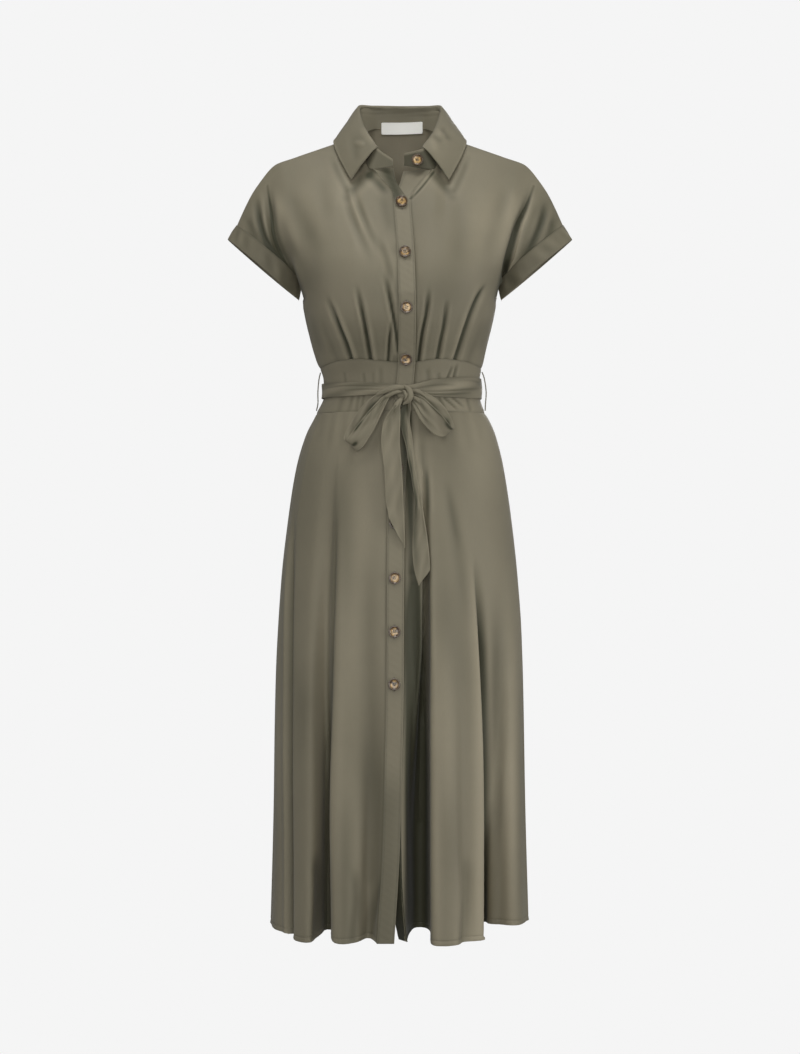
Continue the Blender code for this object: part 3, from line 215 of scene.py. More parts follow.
BACK_COLUMNS = [
    Column("centre_back", 0.0000, 0.0300, 0, 0, 0, 0.067, 0.081, 0.099, 0.109, 0.1105),
    Column("neck_back", 0.0380, 0.0265, 0, 14, 14, 0.060, 0.075, 0.096, 0.108, 0.1100),
    Column("neck_side", 0.0685, 0.0060, 0, 27, 27, 0.012, 0.044, 0.082, 0.102, 0.1070),
    Column("collar_edge", 0.0930, -0.0030, 0, 37, 37, 0.008, 0.040, 0.076, 0.096, 0.1010),
    Column("mid_shoulder", 0.1250, -0.0147, 0, 48, 48, 0.004, 0.035, 0.067, 0.086, 0.0910),
    Column("outer_shoulder", 0.1550, -0.0256, 0, 59, 59, 0.000, 0.031, 0.057, 0.072, 0.0760),
    Column("shoulder_end", 0.1863, -0.0370, 0.003, 70, 70, 0.000, 0.027, 0.049, 0.060, 0.0570),
    Column("crease_edge", 0.2000, -0.0510, 0.008, 80, 80, 0.000, 0.025, 0.043, 0.049, 0.0380),
    Column("crease_foot", 0.2060, -0.0585, -0.014, 90, 90, 0.000, 0.018, 0.028, 0.021, 0.0050),
    Column("upper_arm", 0.2190, -0.0775, -0.003, 90, 90, 0.000, 0.028, 0.041, 0.031, 0.0090),
    Column("lower_arm", 0.2320, -0.1030, 0.000, 90, 90, 0.000, 0.026, 0.040, 0.031, 0.0100),
    Column("cuff_seam", 0.2435, -0.1285, 0.000, 90, 90, 0.000, 0.024, 0.036, 0.029, 0.0110),
]
SHOULDER = 2  # columns from here outwards start on the shoulder seam and the upper arm
SIDE = 8  # this column runs on down the side seam; those beyond it belong to the sleeve
UNDERARM = (0.1445, -0.2095)  # (x, z) of the cuff's inner seam under the arm
DEPTH_STATIONS = (0.0, 0.2, 0.45, 0.7, 0.88, 1.0)

# Hem of the turned-up cuff: its top tip and its foot under the arm, as (x, z).
CUFF_TIP = (0.2565, -0.1490)
CUFF_FOOT = (0.1510, -0.2385)
CUFF_HEM_DEPTHS = (0.000, 0.024, 0.035, 0.029, 0.013, 0.000)
CUFF_PROUD = 0.0010

# Upper seam of the waistband: (bearing, z) from the front centre to the side.
BAND_SEAM = [(0, -0.3393), (14, -0.3355), (30, -0.3320), (50, -0.3345), (75, -0.3400), (90, -0.3410)]
BAND_SEAM_BACK_Z = -0.3410

# ---------------------------------------------------------------- curve tools


def slopes(knots, values):
    """Slopes that keep a cubic through the knots free of overshoot."""
    step = np.diff(knots)
    rise = np.diff(values, axis=0) / step.reshape((-1,) + (1,) * (values.ndim - 1))
    before, after = rise[:-1], rise[1:]
    total = np.where(before + after == 0, 1, before + after)
    inner = np.where(before * after > 0, 2 * before * after / total, 0)
    return np.concatenate([rise[:1], inner, rise[-1:]])


def curve_through(knots, values, at):
    """Smooth curve through values at increasing knots, read at the places in `at`."""
    knots, values, at = (np.asarray(a, float) for a in (knots, values, at))
    slope = slopes(knots, values)
    i = np.clip(np.searchsorted(knots, at, side="right") - 1, 0, len(knots) - 2)
    width = knots[i + 1] - knots[i]
    s = (at - knots[i]) / width
    if values.ndim > 1:
        s, width = s[..., None], width[..., None]
    from_start = (1 + 2 * s) * (1 - s) ** 2 * values[i] + s * (1 - s) ** 2 * width * slope[i]
    from_end = s * s * (3 - 2 * s) * values[i + 1] + s * s * (s - 1) * width * slope[i + 1]
    return from_start + from_end


def ring_at(z):
    """half width, front, back, squareness and shift of the body ring at each level."""
    levels = [-ring.z for ring in RINGS]
    sizes = np.array([list(ring[1:]) for ring in RINGS])
    return np.moveaxis(curve_through(levels, sizes, -np.asarray(z, float)), -1, 0)


def read_down(table, z):
    """A table of (z, value) rows that runs downwards, read at heights z."""
    table = np.array(table)
    return curve_through(-table[:, 0], table[:, 1], -np.clip(z, table[-1, 0], table[0, 0]))


def placket_x(z):
    return read_down(PLACKET_LINE, z)


def on_ring(bearing, z):
    """Point of the body ring at a bearing in degrees, for arrays of either."""
    half_width, front, back, square, shift = ring_at(z)
    angle = np.radians(bearing)
    sine, cosine = np.sin(angle), np.cos(angle)
    power = 2 / np.where(cosine > 0, square, 2.0)
    x = shift + half_width * np.sign(sine) * np.abs(sine) ** power
    depth = np.where(cosine > 0, front, back)
    y = -depth * np.sign(cosine) * np.abs(cosine) ** power
    return np.stack(np.broadcast_arrays(x, y, z), axis=-1)


def bearing_of_x(x, z):
    """Bearing on the front of the ring where it has this x."""
    half_width, _, _, square, shift = ring_at(z)
    off = x - shift
    reach = np.clip(np.abs(off) / half_width, 0, 1) ** (square / 2)
    return np.degrees(np.sign(off) * np.arcsin(reach))


# ---------------------------------------------------------------- surfaces


def band_edges(side, z):
    """x of the seam and of the free edge of a placket band at heights z."""
    neck = RIGHT_BAND_NECK if side < 0 else LEFT_BAND_NECK
    centre = placket_x(z)
    found = []
    for table, offset in ((neck.seam, side), (neck.free, -side)):
        straight = (PLACKET_TOP, float(placket_x(PLACKET_TOP)) + offset * PLACKET_WIDTH / 2)
        upper = read_down([*table, straight], z)
        found.append(np.where(z > PLACKET_TOP, upper, centre + offset * PLACKET_WIDTH / 2))
    return found


def centre_depth(z):
    """Depth of the dress at its front edge, from the neck to the hem."""
    ring = -on_ring(bearing_of_x(placket_x(z), z), z)[..., 1]
    return np.where(z > CHEST_Z, read_down(CENTRE_DEPTH, z), ring)


def column_table(columns, at):
    """Every number of the column table, read between columns at the places in `at`."""
    numbers = np.array([list(column[1:]) for column in columns], float)
    return curve_through(np.arange(len(columns)), numbers, at)


def band_top(bearing):
    table = np.array(BAND_SEAM)
    return curve_through(table[:, 0], table[:, 1], np.clip(np.abs(bearing), 0, 90))


def arm_depth(depths, share):
    """Depths between the stations, rounding over where a column starts."""
    return curve_through(np.sqrt(DEPTH_STATIONS), np.array(depths), np.sqrt(share))


def bodice_grid(side, columns, at, upper_rows, lower_rows, seam_step=0.0):
    """Half of the front (side -1 or +1, front) or of the back of the bodice, outside face.

    Rows run from the neck, shoulder and upper arm down to the waistband; columns from the
    centre out to the sleeve end. Beyond SIDE the grid ends at the row of the underarm.
    """
    front = columns is FRONT_COLUMNS
    facing = -1 if front else 1
    values = column_table(columns, at)
    top_x, top_z, bow, chest, waist = values[:, :5].T
    arm = np.clip((at - SIDE) / (len(columns) - 1 - SIDE), 0, 1)
    ring_foot = on_ring(chest, CHEST_Z)
    foot_y = ring_foot[:, 1] if front else -on_ring(180 - chest, CHEST_Z)[:, 1]
    foot_y = np.where(at >= SIDE, 0.0, np.abs(foot_y))
    foot_x = ring_foot[:, 0]
    foot_x = np.where(at > SIDE, foot_x + (UNDERARM[0] - foot_x) * arm, foot_x)
    foot_z = CHEST_Z + (UNDERARM[1] - CHEST_Z) * arm
    depths = np.concatenate([values[:, 5:], foot_y[:, None]], axis=1)

    share = np.linspace(0, 1, upper_rows + 1)[:, None] ** 1.3
    x = top_x + (foot_x - top_x) * share + bow * 4 * share * (1 - share)
    z = top_z + (foot_z - top_z) * share
    depth = arm_depth(depths.T, share[:, 0])
    upper = np.stack([side * x, facing * depth, z], axis=-1)

    share = np.linspace(0, 1, lower_rows + 1)[1:, None]
    bearing = chest + (waist - chest) * smooth(share)
    foot = band_top(waist) if front else np.full_like(waist, BAND_SEAM_BACK_Z)
    z = CHEST_Z + (foot - CHEST_Z) * share
    lower = on_ring(side * (bearing if front else 180 - bearing), z)
    grid = np.concatenate([upper, lower])

    if front:
        seam, _ = band_edges(side, grid[:, 0, 2])
        lean = np.clip(1 - at / 2.0, 0, 1) ** 2
        grid[..., 0] += (seam - grid[:, 0, 0])[:, None] * lean
        grid[..., 1] += (-centre_depth(grid[:, 0, 2]) - grid[:, 0, 1])[:, None] * lean
        grid[..., 1] += seam_step * np.clip(1 - at, 0, 1) ** 2
    return grid


def gore_ring(gores, waist_z, share):
    """Points of the gore lines at one share of the skirt's length, one row per gore."""
    points = []
    for gore, top_z in zip(gores, waist_z):
        z = top_z + share * (HEM_Z + gore.lift - top_z)
        here = on_ring(gore.bearing, z)
        hem = on_ring(gore.bearing, HEM_Z)
        grown = max(0.0, (share - gore.start) / (1 - gore.start)) ** 1.15
        shift = np.array([gore.hem_x - hem[0], gore.hem_y - hem[1], 0]) * grown
        points.append(here + shift)
    return np.array(points)


def through_points(points, steps):
    """Catmull-Rom curve through a row of points, `steps` points to each gap."""
    padded = np.concatenate([[2 * points[0] - points[1]], points, [2 * points[-1] - points[-2]]])
    t = np.arange(0, 1, 1 / steps)[:, None]
    found = []
    for p0, p1, p2, p3 in zip(padded, padded[1:], padded[2:], padded[3:]):
        second = (2 * p0 - 5 * p1 + 4 * p2 - p3) * t**2
        third = (3 * p1 - p0 - 3 * p2 + p3) * t**3
        found.append(0.5 * (2 * p1 + (p2 - p0) * t + second + third))
    return np.concatenate(found + [points[-1:]])


def right_seam(share):
    z = WAIST_SEAM_Z + share * (HEM_Z - WAIST_SEAM_Z)
    x = float(band_edges(-1, np.array(z))[0])
    return True, on_ring(bearing_of_x(x, z), z)


def left_band_points(share):
    """Seam and free edge of the button band on the skirt, which turns back near the hem."""
    z = WAIST_SEAM_Z + share * (HEM_Z - WAIST_SEAM_Z)
    seam_x, free_x = (float(x) for x in band_edges(1, np.array(z)))
    turned = max(0.0, (share - LEFT_PLACKET_START) / (1 - LEFT_PLACKET_START)) ** 1.4
    found = []
    for x, (hem_x, hem_y) in ((seam_x, LEFT_PLACKET_HEM["seam"]), (free_x, LEFT_PLACKET_HEM["edge"])):
        point = on_ring(bearing_of_x(x, z), z)
        point[1] += UNDER_STEP
        found.append(point + turned * (np.array([hem_x, hem_y, z]) - point))
    return found


def left_seam(share):
    return False, left_band_points(share)[0]


def upright(centre, across, normal):
    """Matrix that lays a piece made flat in XY, facing +Z, at centre and facing normal."""
    z = Vector(normal).normalized()
    x = (Vector(across) - z * Vector(across).dot(z)).normalized()
    matrix = Matrix((x, z.cross(x), z)).transposed().to_4x4()
    matrix.translation = Vector(centre)
    return matrix


# ---------------------------------------------------------------- folds and wrinkles

# A fold is drawn as a line on a panel seen from the front: (x, z) points from its start, in
# millimetres. width: half its width. depth: how far it sinks, negative for a raised ridge.
# ends: the share of the depth left at the two ends of the line. side: 0 for an even trough,
# -1 or 1 for a crease whose cloth steps up on that side of the line.
Fold = namedtuple("Fold", "line width depth ends side", defaults=((0, 0), 0))

RIGHT_BODICE_FOLDS = [
    # the armhole, where the body turns into the sleeve
    Fold([(-197, -66), (-193, -102), (-188, -140), (-175, -177), (-159, -211), (-147, -240)],
         6.2, 6.2, (0, 0.5)),
    Fold([(-205, -100), (-199, -130), (-189, -160), (-173, -193)], 6, -1.2),
    Fold([(-214, -78), (-209, -112), (-202, -143), (-190, -168), (-174, -192)], 4.6, 4.4, (0, 0.2)),
    Fold([(-228, -112), (-220, -140), (-207, -166)], 5.5, 1.8, (0, 0.3)),
    # the chest
    Fold([(-168, -64), (-160, -92), (-147, -120), (-130, -154), (-112, -192)], 11, 1.2),
    Fold([(-182, -80), (-174, -112), (-160, -150), (-146, -180)], 8.3, -0.9),
    Fold([(-80, -78), (-71, -118), (-56, -160), (-36, -208)], 5.6, 1.5, (0.4, 0)),
    Fold([(-69, -84), (-57, -118), (-41, -155), (-22, -190)], 4.4, 1.6, (0.2, 0)),
    Fold([(-34, -150), (-24, -176), (-16, -206), (-13, -236)], 4, 1.7),
    Fold([(-75, -80), (-64, -118), (-49, -157)], 4.1, -1.7, (0.5, 0)),
    Fold([(-118, -50), (-112, -90), (-98, -140)], 10.1, 0.7),
    # tucks let out above the waistband
    Fold([(-70.5, -336), (-78, -312), (-87, -290), (-98, -262), (-108, -240)], 3.4, 4.4, (1, 0)),
    Fold([(-65, -336), (-72, -312), (-80, -290), (-89, -266)], 3.4, -1.2, (1, 0)),
    Fold([(-42.8, -336), (-47, -310), (-52, -282), (-58, -252), (-64, -226)], 3.2, 4, (1, 0)),
    Fold([(-37.5, -336), (-41.5, -306), (-46.5, -276)], 3.2, -1, (1, 0)),
    Fold([(-17.5, -336), (-15.8, -312), (-13.8, -290), (-13, -276)], 2.6, 3, (1, 0)),
    Fold([(-2, -322), (-5.2, -300), (-11.2, -265), (-17.8, -232), (-24.5, -206)], 3.2, 3.8, (1, 0)),
    Fold([(-90, -338), (-99, -316), (-110, -290), (-119, -262)], 5, 1, (1, 0)),
    Fold([(-112, -330), (-122, -296), (-132, -262)], 6, 1),
]
LEFT_BODICE_FOLDS = [
    Fold([(199, -66), (188, -102), (175, -134), (166, -166), (158, -197), (147, -240)],
         8, 7, (0, 0.6), 1),
    Fold([(206, -104), (196, -132), (186, -160), (172, -192)], 6, -0.8),
    Fold([(218, -86), (212, -118), (200, -150), (182, -180)], 5, 3.8, (0, 0.2)),
    Fold([(230, -112), (224, -138), (210, -164)], 5.5, 2, (0, 0.3)),
    Fold([(155, -66), (150, -98), (142, -132), (135, -162), (130, -194)], 10, 1.1),
    Fold([(170, -70), (164, -104), (154, -142)], 7.4, -0.8),
    Fold([(82, -82), (88, -124), (86, -176), (76, -226)], 11, 0.7),
    Fold([(26.2, -336), (31.8, -300), (37.6, -272), (40.5, -250), (42, -226)], 3.2, 4, (1, 0)),
    Fold([(32.2, -336), (37.5, -300), (43, -272)], 3.2, -1, (1, 0)),
    Fold([(54, -336), (59, -309), (64, -286), (67.2, -262), (69.5, -244)], 3, 3.4, (1, 0)),
    Fold([(60, -336), (65, -306), (70, -280)], 3.2, -0.8, (1, 0)),
    Fold([(80, -336), (93, -297), (105, -264), (115, -240), (127, -218)], 3.6, 4.6, (1, 0)),
    Fold([(74, -336), (86.5, -294), (98.5, -260)], 3.4, -1.2, (1, 0)),
    Fold([(99, -340), (106, -318), (115, -294), (124, -262)], 4.6, 1, (1, 0)),
    Fold([(116, -326), (124, -296), (134, -262)], 6, 1),
]
BACK_BODICE_FOLDS = [
    Fold([(-198, -64), (-192, -104), (-183, -146), (-168, -190), (-148, -238)], 10, 9.7, (0, 0.5)),
    Fold([(199, -64), (191, -100), (180, -140), (166, -186), (148, -238)], 11, 10.4, (0, 0.5)),
    Fold([(-215, -84), (-207, -124), (-188, -172)], 6, 4.2, (0, 0.2)),
    Fold([(217, -86), (206, -132), (184, -180)], 6, 4.7, (0, 0.2)),
    Fold([(-150, -60), (-138, -110), (-120, -170)], 13, 3.4),
    Fold([(146, -56), (139, -116), (116, -182)], 12, 3.1),
    Fold([(-80, -334), (-86, -300), (-94, -262), (-100, -226)], 8.5, 4.9, (1, 0), -1),
    Fold([(-48, -334), (-51, -304), (-56, -270)], 7.5, 4.2, (1, 0), -1),
    Fold([(-17, -334), (-18, -300), (-20, -262)], 6.5, 2.6, (1, 0)),
    Fold([(22, -334), (24, -306), (25, -276)], 6.5, 3.1, (1, 0), 1),
    Fold([(52, -334), (57, -298), (64, -256)], 8, 4.4, (1, 0), 1),
    Fold([(84, -334), (92, -300), (101, -264), (108, -232)], 8.5, 4.9, (1, 0), 1),
    Fold([(-10, 0), (-4, -80), (4, -160)], 20, 1.6),
]
RIGHT_SKIRT_FOLDS = [
    # short gathers under the waistband
    Fold([(-98, -409), (-102, -436), (-106, -470)], 5, 0.8, (1, 0)),
    Fold([(-80, -409), (-84, -440), (-88, -480)], 6, 1, (1, 0)),
    Fold([(-66, -409), (-67, -432), (-70, -458)], 4.5, 0.7, (1, 0)),
    Fold([(-112, -409), (-117, -430), (-122, -456)], 5, 0.7, (1, 0)),
    Fold([(-34, -409), (-36, -440), (-40, -486)], 8, 0.8, (1, 0)),
    # long soft troughs
    Fold([(-91, -488), (-93, -640), (-97, -800), (-102, -980), (-102, -1168)], 10.5, 5.2, (0, 1), 1),
    Fold([(-158, -540), (-163.5, -700), (-164, -900), (-161, -1168)], 6, 7.8, (0, 1), -1),
    Fold([(-52, -560), (-48, -720), (-43, -900), (-40, -1080)], 12, 2, (0, 0.4)),
    Fold([(-78, -640), (-80, -860), (-78, -1060)], 12, -3),
    Fold([(-26, -1076), (-36, -1116), (-43, -1160)], 5.5, 3, (0, 0.5)),
    Fold([(-122, -1040), (-118, -1100), (-121, -1168)], 6.5, 3.2, (0, 1)),
    Fold([(-66, -1060), (-62, -1110), (-66, -1168)], 6, 3, (0, 1)),
]
LEFT_SKIRT_FOLDS = [
    Fold([(94, -409), (100, -436), (106, -472)], 5.5, 0.8, (1, 0)),
    Fold([(74, -409), (78, -440), (82, -480)], 5.5, 0.8, (1, 0)),
    Fold([(56, -409), (59, -432), (62, -462)], 5, 0.7, (1, 0)),
    Fold([(112, -409), (118, -432), (124, -460)], 5, 0.6, (1, 0)),
    Fold([(68, -500), (78, -570), (90, -650), (100, -740)], 8, 2),
    Fold([(20, -560), (21, -700), (23, -860), (26, -1040), (28, -1168)], 10.5, 8.5, (0, 0.5)),
    Fold([(106, -610), (113.5, -710), (119, -840), (120, -1000), (119, -1168)], 9.5, 11.2, (0, 1), -1),
    Fold([(60, -700), (66, -860), (68, -1040)], 14, -2.4),
    Fold([(94, -1040), (96, -1100), (90, -1168)], 6, 3.1, (0, 1)),
    Fold([(160, -700), (160, -900), (163, -1168)], 12, -3.6, (0, 0.6)),
    Fold([(142, -640), (146, -860), (147, -1168)], 10, 3.4, (0, 0.8)),
]
BACK_SKIRT_FOLDS = [
    Fold([(-95, -409), (-100, -440), (-105, -490)], 6, 2.9, (1, 0)),
    Fold([(-70, -409), (-74, -450), (-78, -520)], 7, 3.6, (1, 0)),
    Fold([(-46, -409), (-48, -438), (-50, -476)], 5, 2.3, (1, 0)),
    Fold([(-22, -409), (-23, -450), (-24, -530)], 6.5, 3.4, (1, 0)),
    Fold([(4, -409), (5, -434), (6, -470)], 5, 2.3, (1, 0)),
    Fold([(30, -409), (32, -452), (34, -520)], 7, 3.4, (1, 0)),
    Fold([(55, -409), (58, -440), (60, -480)], 5, 2.3, (1, 0)),
    Fold([(80, -409), (85, -450), (90, -520)], 6.5, 3.3, (1, 0)),
    Fold([(106, -409), (112, -436), (118, -474)], 5, 2.1, (1, 0)),
    Fold([(-30, -560), (-34, -760), (-30, -980)], 13, 3.9),
    Fold([(72, -620), (80, -820), (86, -1040)], 12, -3.4),
    Fold([(-140, -700), (-146, -900), (-150, -1168)], 11, 3.6, (0, 0.8)),
    Fold([(22, -1030), (26, -1100), (24, -1168)], 6.5, 3.6, (0, 1)),
]
# Shade where folds and edges keep the light out: the same kind of lines, with depth as the
# shade, which darkens the cloth by two thirds at 1.
RIGHT_BODICE_SHADES = [
    Fold([(-70.5, -336), (-78, -312), (-87, -290), (-98, -262)], 1.8, 1.2, (1, 0)),
    Fold([(-42.8, -336), (-47, -310), (-52, -282), (-58, -252)], 1.6, 1.2, (1, 0)),
    Fold([(-17.5, -336), (-15.8, -312), (-13.8, -290)], 1.4, 1, (1, 0)),
    Fold([(-2, -322), (-5.2, -300), (-11.2, -265), (-17.8, -232)], 1.6, 1.2, (1, 0)),
    Fold([(-235, -90), (-214, -140), (-186, -190), (-158, -226)], 24, 0.46, (0.8, 1)),
    Fold([(-197, -70), (-193, -102), (-188, -140), (-175, -177), (-159, -211), (-147, -240)],
         1.7, 1.1, (0.4, 0.8)),
    Fold([(-212, -100), (-202, -140), (-188, -175), (-172, -205)], 9, 0.34, (0.4, 0.6)),
    Fold([(-28, -86), (-19, -120), (-10, -160)], 7, 0.25),
    Fold([(-76, -92), (-66, -78), (-48, -60), (-30, -46)], 6.5, 0.75, (0.5, 1)),
    Fold([(-100, -30), (-92, -52), (-78, -82)], 4.2, 0.4, (0.3, 1)),
    Fold([(-44, -60), (-30, -74), (-16, -92)], 5.5, 0.7, (1, 0)),
    Fold([(-100, -230), (-50, -235), (-10, -230)], 50, 0.16, (0.6, 1)),
    Fold([(-100, -318), (-40, -322), (-10, -320)], 30, 0.2, (1, 1)),
]
LEFT_BODICE_SHADES = [
    Fold([(26.2, -336), (31.8, -300), (37.6, -272), (40.5, -250)], 1.6, 1.1, (1, 0)),
    Fold([(54, -336), (59, -309), (64, -286), (67.2, -262)], 1.6, 1.1, (1, 0)),
    Fold([(80, -336), (93, -297), (105, -264), (115, -240), (127, -218)], 1.8, 1.2, (1, 0)),
    Fold([(237, -90), (212, -140), (186, -190), (160, -226)], 24, 0.5, (0.8, 1)),
    Fold([(199, -70), (188, -102), (175, -134), (166, -166), (158, -197), (147, -240)],
         1.7, 1.2, (0.4, 0.9)),
    Fold([(205, -85), (197, -112), (187, -142), (175, -185)], 12, 0.5, (0.3, 0.8)),
    Fold([(77, -92), (66, -78), (50, -60), (36, -46)], 5.5, 0.65, (0.4, 1)),
    Fold([(100, -30), (93, -52), (80, -82)], 4.2, 0.4, (0.3, 1)),
    Fold([(50, -54), (32.5, -78), (16.5, -96.5)], 1.6, 1.1, (0.8, 0.4)),
    Fold([(10, -230), (60, -235), (110, -230)], 50, 0.16, (1, 0.6)),
    Fold([(30, -320), (60, -322), (110, -318)], 30, 0.2, (1, 1)),
]
RIGHT_SKIRT_SHADES = [
    Fold([(-98, -700), (-101, -860), (-106, -980), (-106, -1168)], 8, 0.5, (0, 1)),
    Fold([(-166, -560), (-170, -700), (-170, -900), (-167, -1168)], 4.5, 0.5, (0, 1)),
    Fold([(-119, -860), (-121, -1000), (-118, -1168)], 14, 0.22, (0, 1)),
    Fold([(-83, -440), (-83, -600), (-82, -900), (-81, -1168)], 16, 0.6, (0, 1)),
    Fold([(-138, -760), (-139, -900), (-138, -1168)], 16, 0.3, (0, 1)),
    Fold([(-40, -860), (-34, -1000), (-30, -1168)], 22, 0.3, (0, 1)),
]
LEFT_SKIRT_SHADES = [
    Fold([(14, -620), (15, -740), (16, -900), (19, -1168)], 10, 1.15, (0, 1)),
    Fold([(22.5, -540), (23, -700), (24, -900), (25, -1040), (25, -1168)], 13, 0.85, (0, 1)),
    Fold([(29, -620), (30, -760), (32, -860), (34.5, -1000), (36, -1168)], 7.5, 0.9, (0, 1)),
    Fold([(116.5, -660), (121.5, -760), (125, -860), (125.5, -1000), (123, -1168)], 5, 0.7, (0, 0.4)),
    Fold([(66, -500), (78, -560), (90, -620)], 5, 0.2),
    Fold([(152, -860), (153, -1000), (152, -1168)], 11, -0.3, (0, 1)),
    Fold([(11, -412), (12.5, -470), (15, -540), (16.5, -640)], 5.8, 1.6, (0.8, 0.2)),
    Fold([(37, -480), (40, -525), (41, -580)], 3.4, 0.9),
    Fold([(30, -440), (34, -500)], 6, 0.35),
]
RIGHT_PLACKET_SHADES = [
    Fold([(-20, -52), (-12, -70), (-4, -92), (2, -108)], 11, 1.05, (1, 0)),
    Fold([(5, -398), (6, -450), (8, -520)], 5.5, 1.1, (1, 0.4)),
    Fold([(-2, -396), (0, -420)], 8, 0.8, (1, 0)),
    Fold([(-18, -900), (-20, -1020), (-22, -1168)], 30, 0.5, (0, 1)),
]
LEFT_PLACKET_SHADES = [
    Fold([(49, -55), (31, -78), (15, -96.5)], 1.4, 1.1, (0.8, 0.8)),
    Fold([(18, -50), (34, -52)], 5.5, 0.55, (1, 1)),
    Fold([(4, -960), (4, -1050), (6, -1168)], 30, 1.55, (1, 1)),
]
COLLAR_FOLDS = [
    Fold([(-58, 22), (-47, 0), (-36, -18)], 6, -1.5),
    Fold([(-72, -6), (-60, -10), (-50, -12)], 4, -1.2),
    Fold([(-70, 8), (-66, -20), (-64, -44)], 6, 0.9),
    Fold([(52, 16), (60, 6), (72, 3)], 4, -0.9),
    Fold([(47, 4), (56, -4), (66, -6)], 4.4, 0.9),
    Fold([(44, -2), (50, -14), (55, -30)], 5, -1),
    Fold([(62, 20), (68, 6), (80, -6)], 4.5, 1.2),
]


def fold_height(grid, fold):
    """Height of a fold over a grid seen from the front: negative where the cloth sinks."""
    line = through_points(MM * np.array(fold.line, float), 10)
    width = MM * fold.width
    points = grid[..., [0, 2]].reshape(-1, 2)
    reach = 4.2 * width
    low, high = line.min(axis=0) - reach, line.max(axis=0) + reach
    near = np.all((points > low) & (points < high), axis=1)
    height = np.zeros(len(points))
    p = points[near][:, None]
    start, step = line[:-1], np.diff(line, axis=0)
    t = np.clip(((p - start) * step).sum(axis=-1) / (step**2).sum(axis=-1), 0, 1)
    off = p - (start + step * t[..., None])
    distance = np.linalg.norm(off, axis=-1)
    best = distance.argmin(axis=1)
    pick = np.arange(len(best)), best
    place = (best + t[pick]) / len(step)
    turn = step[best, 0] * off[pick][:, 1] - step[best, 1] * off[pick][:, 0]
    signed = distance[pick] * np.where(turn < 0, -1, 1) / width
    first, last = fold.ends
    rise = first + (1 - first) * smooth(place / 0.35)
    fall = last + (1 - last) * smooth((1 - place) / 0.35)
    height[near] = -fold.depth * np.minimum(rise, fall) * profile(signed, fold.side)
    return height.reshape(grid.shape[:-1])


def folded(grid, folds):
    """Height that a table of folds gives to a grid."""
    return MM * sum(fold_height(grid, fold) for fold in folds)


def shade_of(grid, shades):
    """The shade that the lines of a table lay on a grid."""
    return -sum(fold_height(grid, shade) for shade in shades)


def smooth(t):
    t = np.clip(t, 0, 1)
    return t * t * (3 - 2 * t)


def profile(d, side):
    """Cross-section of a fold of depth 1 and half width 1 at signed distances d."""
    if side == 0:
        return np.exp(-(d**2)) - 0.22 * np.exp(-((np.abs(d) - 1.9) ** 2) / 0.8)
    d = d * side
    sharp = np.exp(-((d + 0.10) ** 2) / np.where(d > -0.10, 0.035, 0.55))
    lip = np.exp(-((d - 0.62) ** 2) / np.where(d > 0.62, 0.9, 0.10))
    return sharp - 0.55 * lip


def ripple(x, z, scale):
    """Shallow uneven waves, so that no stretch of cloth is quite flat."""
    waves = ((31, 9, 0.3), (-17, 26, 1.9), (52, -14, 4.1), (23, 47, 2.6), (-71, 19, 5.2))
    total = 0
    for i, (along_x, along_z, phase) in enumerate(waves):
        swing = along_x * x + along_z * z + phase + 1.7 * np.sin(11 * z + i)
        total = total + np.sin(swing) / (1 + 0.45 * i)
    return total * scale


# ---------------------------------------------------------------- shells of cloth

Piece = namedtuple("Piece", "obj slot nodes")
PIECES = []
PAINTED_SHADE_LIMITS = (-0.9, 1.12)  # the palest painted highlight and the darkest painted shade that cloth takes


def unit(vectors):
    return vectors / np.maximum(np.linalg.norm(vectors, axis=-1, keepdims=True), 1e-12)


def grid_normals(grid, closed=False):
    """Outward normals of a grid whose rows run down and whose columns run across."""
    if closed:
        across = np.roll(grid, -1, axis=1) - np.roll(grid, 1, axis=1)
    else:
        across = np.gradient(grid, axis=1)
    return unit(np.cross(across, np.gradient(grid, axis=0)))


def lengths_along(grid, axis):
    """Distance of every grid point from the first one along a row or a column."""
    step = np.linalg.norm(np.diff(grid, axis=axis), axis=-1)
    zero = np.zeros_like(np.take(step, [0], axis=axis))
    return np.concatenate([zero, np.cumsum(step, axis=axis)], axis=axis)


def run_of(line):
    """Distance of every point of a line from its start."""
    return lengths_along(line[None], 1)[0]


def from_ends(grid):
    """Distance of every grid point from the nearer end of its column."""
    down = lengths_along(grid, 0)
    return np.minimum(down, down[-1] - down)


def from_sides(grid):
    """Distance of every grid point from the nearer end of its row."""
    across = lengths_along(grid, 1)
    return np.minimum(across, across[:, [-1]] - across)


def raised(grid, height, closed=False):
    """The grid moved out along its normals."""
    return grid + grid_normals(grid, closed) * height[..., None]


def near(distance, reach):
    """1 at distance 0, falling off smoothly past reach."""
    return np.exp(-((distance / reach) ** 2))


